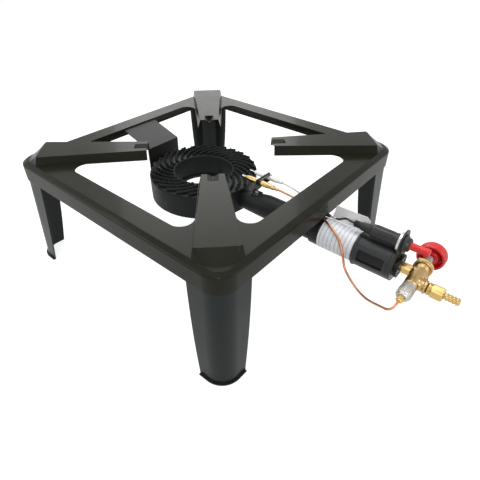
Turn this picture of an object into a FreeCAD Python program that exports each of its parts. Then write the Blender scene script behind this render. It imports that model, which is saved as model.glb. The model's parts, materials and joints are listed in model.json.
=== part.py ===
import FreeCAD, Part
import math
import os
import Sketcher
from FreeCAD import Placement, Rotation, Vector

# Gas boiling ring on a pressed steel stand: a square top on four splayed legs carries a cast
# ring burner, whose mixing tube runs out at the front to the air shutter, the injector and a
# flame-failure tap. Millimetres, +Z up, the ground at z = 0, the stand's middle at x = y = 0,
# and the tap at the +X end.

# ------------------------------------------------------------------ driving dimensions

SIZES = {
    # pressed top
    "sheet_thick": 1.8,
    "top_side": 400.0,
    "top_corner": 27.0,
    "top_height": 169.0,
    "skirt_height": 28.0,
    "shoulder": 7.0,
    "flange_width": 34.0,
    "lip_depth": 7.0,
    "opening_corner": 16.0,
    # along X, thermo_start, electrode_start and pilot_out are measured from the ring's edge;
    # spigot_start, tube_end, label, tab, shutter, injector, tap_out, piezo_start and
    # lead_boot_start are measured from the top's outer face
    # pan fingers, measured along and across a diagonal
    "finger_rise": 12.0,
    "finger_tip": 92.0,
    "finger_hip_inset": 40.0,
    "finger_tip_half": 15.0,
    "finger_hip_half": 25.5,
    "finger_lean": 4.0,
    "finger_flare": 2.5,
    "hip_round": 1.0,
    "toe_inset": 0.6,
    "groove_length": 20.0,
    "groove_half": 7.3,
    "groove_depth": 5.0,
    # legs
    "leg_thick": 1.8,
    "leg_width": 50.0,
    "foot_width": 39.0,
    "leg_splay": 7.5,
    "leg_tuck": 20.0,
    "foot_lip": 2.5,
    "foot_lip_height": 2.0,
    # burner
    "ring_back": 18.0,
    "ring_radius": 83.0,
    "ring_bore": 45.0,
    "ring_wall": 4.0,
    "drum_below": 19.5,
    "drum_above": 13.5,
    "cap_thick": 3.5,
    "rib_height": 5.0,
    "rib_thick": 5.0,
    "port_radius": 0.9,
    "axis_drop": 53.0,
    "neck_radius": 17.0,
    "neck_bore": 13.0,
    "neck_root_radius": 13.0,
    "neck_root_drop": 4.0,
    "neck_straight": 106.0,
    "spigot_start": -12.0,
    "spigot_length": 26.0,
    "lug_width": 22.0,
    "lug_height": 16.0,
    "lug_lift": 9.5,
    "lug_reach": 8.0,
    "lug_screw_radius": 3.0,
    "bore_ledge": 3.0,
    # straps
    "strap_thick": 2.0,
    "strap_width": 63.0,
    "strap_seat": 26.0,
    "strap_drop": 17.5,
    "hanger_width": 54.0,
    "hanger_seat": 15.5,
    "hanger_inset": 10.0,
    "hanger_below": 2.8,
    "hanger_clear": 0.05,
    "hanger_screw_radius": 2.5,
    "boss_y": 9.0,
    "boss_half": 6.0,
    "boss_length": 9.0,
    "boss_rise": 5.0,
    "slot_near_y": 0.5,
    "slot_far_y": 20.0,
    "slot_rise": 24.4,
    "slot_half": 3.8,
    # mixing tube, label, shutter
    "tube_radius": 19.4,
    "tube_wall": 1.8,
    "tube_end": 99.4,
    "label_thick": 0.4,
    "label_gap": 0.1,
    "label_start": 1.4,
    "label_end": 49.0,
    "tab_start": 7.0,
    "tab_end": 53.0,
    "tab_offset": 12.7,
    "tab_foot": 15.9,
    "tab_top": 38.0,
    "tab_thick": 0.6,
    "tab_slant": 4.0,
    "shutter_start": 50.0,
    "shutter_length": 45.1,
    "shutter_wall": 1.9,
    "shutter_play": 0.07,
    "shutter_lip": 1.1,
    "shutter_lip_length": 3.5,
    "window_length": 33.0,
    "window_width": 15.0,
    "window_bend": 2.0,
    "window_inset": 7.5,
    "shutter_roll": 12.0,
    "tube_window_roll": -38.0,
    "clamp_screw_roll": -128.0,
    "clamp_screw_radius": 1.9,
    "clamp_screw_head": 2.9,
    "clamp_screw_height": 2.2,
    "clamp_screw_inset": 26.0,
    # end plate, injector, air disc
    "plate_thick": 1.6,
    "plate_disc": 16.5,
    "plate_rim": 4.0,
    "fit_gap": 0.02,
    "air_hole": 2.6,
    "air_hole_circle": 11.5,
    "injector_radius": 5.0,
    "injector_start": 82.0,
    "jet_length": 6.0,
    "jet_bore": 0.7,
    "disc_radius": 16.8,
    "disc_thick": 3.4,
    "disc_gap": 1.6,
    "disc_play": 0.06,
    "notch_radius": 1.1,
    "union_flats": 13.0,
    "union_length": 12.0,
    "union_gap": 0.6,
    # tap
    "tap_out": 127.0,
    "barrel_radius": 7.0,
    "barrel_back": -27.0,
    "barrel_front": 14.0,
    "plug_radius": 4.4,
    "plug_back": -16.0,
    "plug_play": 0.05,
    "inlet_y": -16.5,
    "inlet_radius": 6.6,
    "inlet_end": 16.5,
    "bonnet_radius": 11.5,
    "bonnet_thick": 5.5,
    "stem_radius": 3.0,
    "stem_play": 0.05,
    "stem_back": -1.0,
    "bonnet_screw_radius": 2.2,
    "bonnet_screw_height": 3.6,
    "bonnet_screw_out": 9.0,
    "knob_radius": 17.4,
    "knob_back": 36.0,
    "knob_thick": 14.0,
    "knob_wall": 3.4,
    "knob_hub": 8.6,
    "knob_push": 3.0,
    "inlet_flats": 15.0,
    "inlet_nut_length": 18.0,
    "barb_radius": 3.7,
    "barb_ridge": 4.7,
    "barb_length": 17.0,
    "barb_bore": 2.4,
    # flame-failure magnet
    "magnet_radius": 8.6,
    "magnet_length": 23.0,
    "capillary_radius": 1.3,
    "capillary_nut_flats": 8.0,
    "capillary_nut_length": 7.0,
    # igniter
    "piezo_y": 1.0,
    "piezo_rise": 31.6,
    "piezo_radius": 8.7,
    "piezo_start": 62.0,
    "piezo_thread": 7.6,
    "piezo_nut_radius": 12.0,
    "collar_radius": 9.0,
    "collar_length": 8.0,
    "button_radius": 4.9,
    "button_length": 22.0,
    "button_play": 0.08,
    "button_inside": 15.0,
    "piezo_washer_thick": 4.0,
    "piezo_element_length": 9.0,
    "piezo_boot_length": 24.0,
    "lead_radius": 1.25,
    "lead_boot_start": -7.0,
    "lead_boot_length": 10.0,
    "lead_boot_y": 7.5,
    "lead_boot_rise": 22.0,
    "lead_boot_radius": 2.5,
    "lead_ferrule_length": 8.0,
    # thermocouple and electrode
    "pilot_rise": 26.5,
    "thermo_y": 11.0,
    "thermo_start": -14.0,
    "thermo_tip_radius": 1.4,
    "thermo_tip_length": 7.0,
    "thermo_radius": 4.0,
    "thermo_length": 51.0,
    "ferrule_radius": 2.4,
    "ferrule_length": 9.0,
    "electrode_y": 31.0,
    "electrode_start": -15.0,
    "electrode_pin_radius": 0.9,
    "electrode_pin_length": 10.0,
    "ceramic_radius": 3.7,
    "ceramic_length": 50.0,
    "pilot_out": 17.0,
    "pilot_plate_width": 12.0,
    "pilot_thick": 1.6,
    "pilot_seat_rise": 14.5,
    "pilot_screw_radius": 1.9,
    "pilot_screw_length": 6.0,
    "clip_thick": 0.8,
    "clip_width": 4.0,
}

doc = FreeCAD.newDocument("boiling_ring")
sheet = doc.addObject("Spreadsheet::Sheet", "sizes")
for row, (size_name, size_value) in enumerate(SIZES.items(), start=1):
    sheet.set(f"A{row}", size_name)
    sheet.set(f"B{row}", str(size_value))
    sheet.setAlias(f"B{row}", size_name)
doc.recompute()


class Size:
    """A number that also remembers the sheet expression that it comes from."""

    def __init__(self, number, text):
        self.number = float(number)
        self.text = text

    @staticmethod
    def of(thing):
        return thing if isinstance(thing, Size) else Size(thing, repr(float(thing)))

    def __add__(self, other):
        other = Size.of(other)
        return Size(self.number + other.number, f"({self.text} + {other.text})")

    def __sub__(self, other):
        other = Size.of(other)
        return Size(self.number - other.number, f"({self.text} - {other.text})")

    def __mul__(self, other):
        other = Size.of(other)
        return Size(self.number * other.number, f"({self.text} * {other.text})")

    def __truediv__(self, other):
        other = Size.of(other)
        return Size(self.number / other.number, f"({self.text} / {other.text})")

    def __radd__(self, other):
        return Size.of(other) + self

    def __rsub__(self, other):
        return Size.of(other) - self

    def __rmul__(self, other):
        return Size.of(other) * self

    def __neg__(self):
        return Size(-self.number, f"(-1 * {self.text})")


def size(name):
    return Size(sheet.get(name), f"sizes.{name}")


# ------------------------------------------------------------------ values worked out once

half_side = size("top_side") / 2
sheet_t = size("sheet_thick")
top_z = size("top_height")
skirt_z = top_z - size("skirt_height")
under_flange = top_z - sheet_t
skirt_inside = half_side - sheet_t
flange_edge = half_side - size("flange_width")
pan_z = top_z + size("finger_rise")
axis_z = top_z - size("axis_drop")
ring_x = -size("ring_back")
drum_bottom = axis_z - size("drum_below")
drum_top = axis_z + size("drum_above")
pilot_z = axis_z + size("pilot_rise")
ring_edge = ring_x + size("ring_radius")
thermo_x = ring_edge + size("thermo_start")
electrode_x = ring_edge + size("electrode_start")
pilot_x = ring_edge + size("pilot_out")
hanger_x = flange_edge + size("hanger_inset")
spigot_x = half_side + size("spigot_start")
label_x = half_side + size("label_start")
label_end_x = half_side + size("label_end")
shutter_x = half_side + size("shutter_start")
tube_end_x = half_side + size("tube_end")
injector_x = half_side + size("injector_start")
tap_x = half_side + size("tap_out")
inlet_end_x = tap_x + size("inlet_end")
piezo_x = half_side + size("piezo_start")
tube_inside = size("tube_radius") - size("tube_wall")
shutter_inside = size("tube_radius") + size("shutter_play")
shutter_outside = shutter_inside + size("shutter_wall")
shutter_end = shutter_x + size("shutter_length")
plate_end = tube_end_x + size("plate_thick")
disc_start = plate_end + size("disc_gap")
disc_end = disc_start + size("disc_thick")
union_start = disc_end + size("union_gap")
union_end = union_start + size("union_length")
piezo_z = axis_z + size("piezo_rise")
magnet_end = size("barrel_back") - size("magnet_length")
bonnet_end = size("barrel_front") + size("bonnet_thick")
knob_end = size("knob_back") + size("knob_thick")
collar_start = plate_end
collar_end = collar_start + size("collar_length")
CLOSE = 0.01

# ------------------------------------------------------------------ helpers

parts = {}


def origin_part(body, role):
    return next(item for item in body.Origin.OriginFeatures if item.Role == role)


def bind(thing, path, amount):
    """Ties one property of a feature to the sheet."""
    thing.setExpression(path, Size.of(amount).text)


def new_body(label):
    body = doc.addObject("PartDesign::Body", label)
    body.Label = label
    parts[label] = body
    return body


def put(body, x, y, z, axis=Vector(0, 0, 1), angle=0.0):
    """Places a body; its place follows the sheet."""
    x, y, z = Size.of(x), Size.of(y), Size.of(z)
    body.Placement = Placement(Vector(x.number, y.number, z.number), Rotation(axis, angle))
    for letter, amount in zip("xyz", (x, y, z)):
        bind(body, f"Placement.Base.{letter}", amount)
    return body


def new_sketch(body, plane, lift=0.0, turn=0.0):
    lift = Size.of(lift)
    sketch = body.newObject("Sketcher::SketchObject", body.Label + "_sketch")
    sketch.AttachmentSupport = [(origin_part(body, plane), "")]
    sketch.MapMode = "FlatFace"
    sketch.AttachmentOffset = Placement(Vector(0, 0, lift.number), Rotation(Vector(0, 0, 1), turn))
    bind(sketch, "AttachmentOffset.Base.z", lift)
    return sketch


def pin_down(sketch, index, end, x, y):
    """Fixes one point of a sketch at (x, y)."""
    for kind, amount, on_axis in (("DistanceX", x, -2), ("DistanceY", y, -1)):
        if abs(amount.number) < 1e-9 and "sizes" not in amount.text:
            sketch.addConstraint(Sketcher.Constraint("PointOnObject", index, end, on_axis))
            continue
        rule = sketch.addConstraint(Sketcher.Constraint(kind, -1, 1, index, end, amount.number))
        sketch.setExpression(f"Constraints[{rule}]", amount.text)


def polygon(sketch, corners):
    """Draws a closed outline through (x, y) or (x, y, corner radius)."""
    count = len(corners)
    corners = [tuple(Size.of(value) for value in corner) for corner in corners]
    where = [Vector(corner[0].number, corner[1].number, 0) for corner in corners]
    cuts = []
    for index, corner in enumerate(corners):
        back = (where[index - 1] - where[index]).normalize()
        ahead = (where[(index + 1) % count] - where[index]).normalize()
        if len(corner) == 3:
            half = back.getAngle(ahead) / 2
            cuts.append((corner[2].number / math.tan(half), back, ahead, half))
        else:
            cuts.append((0.0, back, ahead, 0.0))
    lines = []
    for index in range(count):
        after = (index + 1) % count
        start = where[index] + cuts[index][2] * cuts[index][0]
        end = where[after] + cuts[after][1] * cuts[after][0]
        lines.append(sketch.addGeometry(Part.LineSegment(start, end), False))
    for index, corner in enumerate(corners):
        before = lines[index - 1]
        line = lines[index]
        if len(corner) == 2:
            sketch.addConstraint(Sketcher.Constraint("Coincident", before, 2, line, 1))
            pin_down(sketch, line, 1, corner[0], corner[1])
            continue
        length, back, ahead, half = cuts[index]
        start = where[index] + back * length
        end = where[index] + ahead * length
        inward = (back + ahead).normalize()
        centre = where[index] + inward * (corner[2].number / math.sin(half))
        middle = centre - inward * corner[2].number
        arc = sketch.addGeometry(Part.Arc(start, middle, end), False)
        turned_back = (sketch.getPoint(arc, 1) - start).Length > 1e-6
        first, last = (2, 1) if turned_back else (1, 2)
        knot = sketch.addGeometry(Part.Point(where[index]), True)
        pin_down(sketch, knot, 1, corner[0], corner[1])
        sketch.addConstraint(Sketcher.Constraint("Tangent", before, 2, arc, first))
        sketch.addConstraint(Sketcher.Constraint("Tangent", arc, last, line, 1))
        sketch.addConstraint(Sketcher.Constraint("PointOnObject", knot, 1, before))
        sketch.addConstraint(Sketcher.Constraint("PointOnObject", knot, 1, line))
        rule = sketch.addConstraint(Sketcher.Constraint("Radius", arc, corner[2].number))
        sketch.setExpression(f"Constraints[{rule}]", corner[2].text)
    return sketch


def circle(sketch, x, y, radius):
    x, y, radius = Size.of(x), Size.of(y), Size.of(radius)
    ring = Part.Circle(Vector(x.number, y.number, 0), Vector(0, 0, 1), radius.number)
    index = sketch.addGeometry(ring, False)
    pin_down(sketch, index, 3, x, y)
    rule = sketch.addConstraint(Sketcher.Constraint("Radius", index, radius.number))
    sketch.setExpression(f"Constraints[{rule}]", radius.text)
    return sketch


def hexagon(sketch, flats, x=0.0, y=0.0):
    reach = Size.of(flats) / math.sqrt(3)
    corners = [(x + reach * math.cos(math.radians(60 * step)),
                y + reach * math.sin(math.radians(60 * step))) for step in range(6)]
    return polygon(sketch, corners)


def pad(body, sketch, length, reverse=False):
    feature = body.newObject("PartDesign::Pad", body.Label + "_pad")
    feature.Profile = sketch
    feature.Reversed = reverse
    bind(feature, "Length", length)
    doc.recompute()
    return feature


def pocket(body, sketch, length, reverse=False, both=False):
    """Cuts a sketch into its body, and checks that it did cut."""
    before = body.Tip.Shape.Volume
    feature = body.newObject("PartDesign::Pocket", body.Label + "_pocket")
    feature.Profile = sketch
    feature.Reversed = reverse
    feature.Midplane = both
    bind(feature, "Length", length)
    doc.recompute()
    if feature.Shape.Volume >= before:
        raise RuntimeError(f"{body.Label}: a pocket cuts nothing")
    return feature


def revolve(body, corners):
    """Turns an outline given as (along the axis, radius) round the body's own X axis."""
    sketch = polygon(new_sketch(body, "XY_Plane"), corners)
    feature = body.newObject("PartDesign::Revolution", body.Label + "_turned")
    feature.Profile = sketch
    feature.ReferenceAxis = (sketch, ["H_Axis"])
    feature.Angle = 360
    doc.recompute()
    return feature


def polar(body, features, count, axis="Z_Axis"):
    feature = body.newObject("PartDesign::PolarPattern", body.Label + "_pattern")
    feature.Originals = features
    feature.Axis = (origin_part(body, axis), [""])
    feature.Angle = 360
    feature.Occurrences = count
    body.Tip = feature
    doc.recompute()
    return feature


def round_off(body, radius, picks):
    """Rounds the edges of the body's last feature that the test picks."""
    base = body.Tip
    names = [f"Edge{number}" for number, edge in enumerate(base.Shape.Edges, start=1) if picks(edge)]
    feature = body.newObject("PartDesign::Fillet", body.Label + "_fillet")
    feature.Base = (base, names)
    bind(feature, "Radius", radius)
    doc.recompute()
    return feature


def upright(edge):
    return abs(edge.tangentAt(edge.FirstParameter).z) > 1 - CLOSE


def turned(label, corners, x, y, z, along="X"):
    """A lathe-turned piece; along says which way its own axis points."""
    angle = {"X": 0.0, "Y": 90.0}[along]
    body = new_body(label)
    revolve(body, corners)
    put(body, x, y, z, Vector(0, 0, 1), angle)
    return body


def tube_outline(start, end, inner, outer):
    return [(start, inner), (end, inner), (end, outer), (start, outer)]


def rod_outline(start, end, radius):
    return [(start, 0.0), (end, 0.0), (end, radius), (start, radius)]


def box_corners(x0, x1, y0, y1):
    return [(x0, y0), (x1, y0), (x1, y1), (x0, y1)]


def square_corners(half, radius):
    return [(-half, -half, radius), (half, -half, radius), (half, half, radius), (-half, half, radius)]


def bent_tube(label, points, radius):
    """A lead or tube: straight runs joined by arcs as large as the runs allow."""
    knots = [Vector(*[Size.of(value).number for value in point]) for point in points]
    edges = []
    radii = []
    start = knots[0]
    for before, knot, after in zip(knots, knots[1:], knots[2:]):
        back = before - knot
        ahead = after - knot
        turn = math.pi - back.getAngle(ahead)
        bend = 0.45 * min(back.Length, ahead.Length) / math.tan(turn / 2)
        back.normalize()
        ahead.normalize()
        cut = bend * math.tan(turn / 2)
        inward = (back + ahead).normalize()
        centre = knot + inward * (bend / math.cos(turn / 2))
        first = knot + back * cut
        last = knot + ahead * cut
        edges.append(Part.LineSegment(start, first).toShape())
        edges.append(Part.Arc(first, centre - inward * bend, last).toShape())
        radii.append(round(bend, 1))
        start = last
    edges.append(Part.LineSegment(start, knots[-1]).toShape())
    route = Part.Wire(edges)
    thick = Size.of(radius).number
    along = (knots[1] - knots[0]).normalize()
    section = Part.Wire([Part.Circle(knots[0], along, thick).toShape()])
    feature = doc.addObject("Part::Feature", label)
    feature.Label = label
    feature.Shape = route.makePipeShell([section], True, True)
    expected = math.pi * thick ** 2 * route.Length
    if abs(feature.Shape.Volume / expected - 1) > 0.02:
        raise RuntimeError(f"{label}: the tube's volume is not its section times its length")
    print(label, "length", round(route.Length, 1), "bend radii", radii)
    parts[label] = feature
    return feature


# ------------------------------------------------------------------ pressed top and legs

DIAGONAL = math.sqrt(2)
edge_diagonal = (half_side - size("shoulder")) * DIAGONAL
toe_centre = (half_side - size("top_corner")) * DIAGONAL
toe_radius = size("top_corner") - size("shoulder") - size("toe_inset")
finger_hip = half_side * DIAGONAL - size("finger_hip_inset")
finger_side_half = size("finger_hip_half") + size("finger_flare")
finger_side = edge_diagonal - finger_side_half
finger_foot_half = size("finger_tip_half") + size("finger_lean")
TOE_ANGLES = (42, 14)
HIP_SHARES = (0.86, 0.3)
finger_slope = (finger_side_half - finger_foot_half) / (finger_side - size("finger_tip"))


def finger_section(tip, tip_half, side, side_half, toe):
    """A finger's outline along its diagonal: the tip, the two sides and the toe's points."""
    half = [(tip, tip_half), (side, side_half)] + toe
    return [(along, -across) for along, across in half] + half[::-1]


def toe_arc(radius):
    """Points of the toe, on an arc about the top's corner."""
    angles = [math.radians(degrees) for degrees in TOE_ANGLES]
    return [(toe_centre + radius * math.cos(angle), radius * math.sin(angle)) for angle in angles]


def hip_line(along, half):
    """Points of the hip's straight ridge, one for each of the toe's."""
    return [(along, half * share) for share in HIP_SHARES]


def opening_corners():
    """The opening inside the top: straight flange edges between four fingers."""
    tip = size("finger_tip")
    meet = (flange_edge * DIAGONAL - finger_foot_half + finger_slope * tip) / (1 + finger_slope)
    meet_half = finger_foot_half + finger_slope * (meet - tip)
    shallow = (meet - meet_half) / DIAGONAL
    near = (tip - finger_foot_half) / DIAGONAL
    far = (tip + finger_foot_half) / DIAGONAL
    bend = size("opening_corner")
    quarter = [(flange_edge, shallow, bend), (far, near), (near, far), (shallow, flange_edge, bend)]
    corners = []
    for _ in range(4):
        corners += quarter
        quarter = [(-corner[1], corner[0], *corner[2:]) for corner in quarter]
    return corners, shallow


def make_top_frame():
    """One pressing: rounded skirt, flat flange with a turned-down inner lip, four raised fingers."""
    body = new_body("top_frame")
    corner = size("top_corner")
    outside = polygon(new_sketch(body, "XY_Plane", skirt_z), square_corners(half_side, corner))
    pad(body, outside, size("skirt_height"))
    inside = new_sketch(body, "XY_Plane", skirt_z)
    polygon(inside, square_corners(skirt_inside, corner - sheet_t))
    pocket(body, inside, size("skirt_height") - sheet_t, reverse=True)
    roof = under_flange.number
    round_off(body, size("shoulder") - sheet_t,
              lambda edge: abs(edge.BoundBox.ZMin - roof) < CLOSE and abs(edge.BoundBox.ZMax - roof) < CLOSE)
    round_off(body, size("shoulder"), lambda edge: edge.BoundBox.ZMin > top_z.number - CLOSE)
    corners, shallow = opening_corners()
    pocket(body, polygon(new_sketch(body, "XY_Plane", top_z), corners), sheet_t + 1)
    lips = new_sketch(body, "XY_Plane", top_z - size("lip_depth"))
    reach = shallow - size("opening_corner") / 2
    gap = size("strap_width") / 2 + 1
    outer = flange_edge + sheet_t
    polygon(lips, box_corners(flange_edge, outer, -reach, reach))
    polygon(lips, box_corners(-reach, reach, flange_edge, outer))
    polygon(lips, box_corners(-reach, reach, -outer, -flange_edge))
    polygon(lips, box_corners(-outer, -flange_edge, gap, reach))
    polygon(lips, box_corners(-outer, -flange_edge, -reach, -gap))
    pad(body, lips, size("lip_depth") - sheet_t / 2)
    make_fingers(body)
    return body


def make_fingers(body):
    tip = size("finger_tip")
    half = size("finger_hip_half")
    foot = new_sketch(body, "XY_Plane", under_flange, 45)
    polygon(foot, finger_section(tip, finger_foot_half, finger_side, finger_side_half, toe_arc(toe_radius)))
    crown = new_sketch(body, "XY_Plane", pan_z, 45)
    polygon(crown, finger_section(tip, size("finger_tip_half"), finger_hip - size("hip_round"), half,
                                  hip_line(finger_hip, half)))
    outer = body.newObject("PartDesign::AdditiveLoft", "finger_outside")
    outer.Profile = foot
    outer.Sections = [crown]
    outer.Ruled = True
    doc.recompute()
    thin = sheet_t
    hollow_foot = new_sketch(body, "XY_Plane", under_flange - 1, 45)
    polygon(hollow_foot, finger_section(tip - 4, finger_foot_half - thin, finger_side - thin / 2,
                                        finger_side_half - thin, toe_arc(toe_radius - thin * 1.3)))
    hollow_crown = new_sketch(body, "XY_Plane", pan_z - thin, 45)
    polygon(hollow_crown, finger_section(tip - 4, size("finger_tip_half") - thin,
                                         finger_hip - size("hip_round") - thin / 2, half - thin,
                                         hip_line(finger_hip - thin / 2, half - thin)))
    inner = body.newObject("PartDesign::SubtractiveLoft", "finger_inside")
    inner.Profile = hollow_foot
    inner.Sections = [hollow_crown]
    inner.Ruled = True
    doc.recompute()
    groove = size("groove_half")
    depth = size("groove_depth")
    rib = new_sketch(body, "YZ_Plane", 0, 0)
    rib_feature, cut_feature = None, None
    for sketch, corners, kind in (
            (rib, [(-groove, pan_z - thin / 2), (-groove, pan_z - thin), (0.0, pan_z - thin - depth),
                   (groove, pan_z - thin), (groove, pan_z - thin / 2)], "rib"),
            (new_sketch(body, "YZ_Plane", 0, 0), [(-groove, pan_z), (0.0, pan_z - depth),
                                                  (groove, pan_z)], "cut")):
        polygon(sketch, corners)
        sketch.AttachmentSupport = [(origin_part(body, "XY_Plane"), "")]
        lean = Rotation(Vector(0, 0, 1), 45) * Rotation(Vector(0, 0, 1), 90) * Rotation(Vector(1, 0, 0), 90)
        sketch.AttachmentOffset = Placement(lean.multVec(Vector(0, 0, tip.number)), lean)
        bind(sketch, "AttachmentOffset.Base.x", tip / DIAGONAL)
        bind(sketch, "AttachmentOffset.Base.y", tip / DIAGONAL)
        bind(sketch, "AttachmentOffset.Base.z", 0.0)
        if kind == "rib":
            rib_feature = pad(body, sketch, size("groove_length"))
        else:
            cut_feature = pocket(body, sketch, size("groove_length") - thin, reverse=True)
    polar(body, [outer, inner, rib_feature, cut_feature], 4)


def leg_section(reach, width, thick, bend):
    """An L with a rounded corner, open towards the middle of the stand."""
    return [(reach - width, reach), (reach, reach, bend), (reach, reach - width),
            (reach - thick, reach - width), (reach - thick, reach - thick, bend - thick),
            (reach - width, reach - thick)]


def make_leg(label, angle):
    """A pressed angle, upright inside the skirt and splayed below it, with a small turned-out foot."""
    body = new_body(label)
    thick = size("leg_thick")
    bend = size("top_corner") - sheet_t
    width = size("leg_width")
    foot_reach = skirt_inside + size("leg_splay")
    foot_width = size("foot_width")
    foot = polygon(new_sketch(body, "XY_Plane", 0), leg_section(foot_reach, foot_width, thick, bend))
    hip = polygon(new_sketch(body, "XY_Plane", skirt_z), leg_section(skirt_inside, width, thick, bend))
    shin = body.newObject("PartDesign::AdditiveLoft", label + "_shin")
    shin.Profile = foot
    shin.Sections = [hip]
    shin.Ruled = True
    doc.recompute()
    head = polygon(new_sketch(body, "XY_Plane", skirt_z), leg_section(skirt_inside, width, thick, bend))
    pad(body, head, size("leg_tuck"))
    lip = size("foot_lip")
    toe = new_sketch(body, "XY_Plane", 0)
    polygon(toe, leg_section(foot_reach + lip, foot_width + lip, thick + lip, bend + lip))
    pad(body, toe, size("foot_lip_height"))
    put(body, 0.0, 0.0, 0.0, Vector(0, 0, 1), angle)


# ------------------------------------------------------------------ straps that carry the burner

lug_face = ring_x - size("ring_radius") - size("lug_reach")
lug_z = drum_bottom + size("lug_height") / 2 + size("lug_lift")
strap_bend_z = under_flange - size("strap_drop")


def make_rear_strap():
    """A bent strap from the rear flange down to the burner's lug."""
    body = new_body("rear_strap")
    thick = size("strap_thick")
    flange_in = -flange_edge - 2
    start = -flange_edge - size("strap_seat")
    low = lug_z - size("lug_height") / 2 - 2
    sketch = new_sketch(body, "XZ_Plane", size("strap_width") / 2)
    polygon(sketch, [(start, under_flange), (flange_in, under_flange), (lug_face, strap_bend_z),
                     (lug_face, low), (lug_face - thick, low), (lug_face - thick, strap_bend_z - thick),
                     (flange_in - thick / 4, under_flange - thick), (start, under_flange - thick)])
    pad(body, sketch, size("strap_width"), reverse=True)
    hole = circle(new_sketch(body, "YZ_Plane", lug_face), 0.0, lug_z, size("lug_screw_radius") + 0.2)
    pocket(body, hole, thick)


def hex_screw(label, radius, length, flats, head, x, y, z, axis, angle):
    """A hexagon-head screw whose shank runs along its own +X from the head's underside."""
    body = new_body(label)
    revolve(body, rod_outline(0.0, length, radius))
    pad(body, hexagon(new_sketch(body, "YZ_Plane", 0), flats), head, reverse=True)
    return put(body, x, y, z, axis, angle)


def make_front_hanger():
    """An angle bracket under the front flange whose arch sits over the mixing tube's neck."""
    body = new_body("front_hanger")
    thick = size("strap_thick")
    web_x = hanger_x
    low = axis_z - size("hanger_below")
    sketch = new_sketch(body, "XZ_Plane", size("hanger_width") / 2)
    polygon(sketch, [(web_x, under_flange), (web_x + size("hanger_seat"), under_flange),
                     (web_x + size("hanger_seat"), under_flange - thick), (web_x + thick, under_flange - thick),
                     (web_x + thick, low), (web_x, low)])
    pad(body, sketch, size("hanger_width"), reverse=True)
    arch = new_sketch(body, "YZ_Plane", web_x - 1)
    circle(arch, 0.0, axis_z, size("neck_radius") + size("hanger_clear"))
    pocket(body, arch, thick + 2, reverse=True)
    holes = new_sketch(body, "YZ_Plane", web_x - 1)
    circle(holes, -size("boss_y"), boss_screw_z, size("hanger_screw_radius") + 0.2)
    bottom = axis_z + size("slot_rise") - size("slot_half")
    ends = (size("slot_near_y"), size("slot_far_y"))
    bend = size("slot_half") * 0.8
    top = bottom + size("slot_half") * 2
    polygon(holes, [(ends[0], bottom, bend), (ends[1], bottom, bend), (ends[1], top, bend), (ends[0], top, bend)])
    pocket(body, holes, thick + 2, reverse=True)


# ------------------------------------------------------------------ burner

boss_screw_z = axis_z + size("neck_radius") + size("boss_rise")
neck_root_x = ring_x + size("ring_radius") - size("ring_wall") / 2 - 0.5
spigot_radius = tube_inside - 0.02
pilot_seat_z = axis_z + size("pilot_seat_rise")


def circle_loft(body, kind, first, second):
    """A round loft along X between two (x, z, radius) stations."""
    sketches = []
    for x, z, radius in (first, second):
        sketches.append(circle(new_sketch(body, "YZ_Plane", x), 0.0, z, radius))
    feature = body.newObject("PartDesign::" + kind, body.Label + "_neck")
    feature.Profile = sketches[0]
    feature.Sections = [sketches[1]]
    doc.recompute()
    return feature


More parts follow.
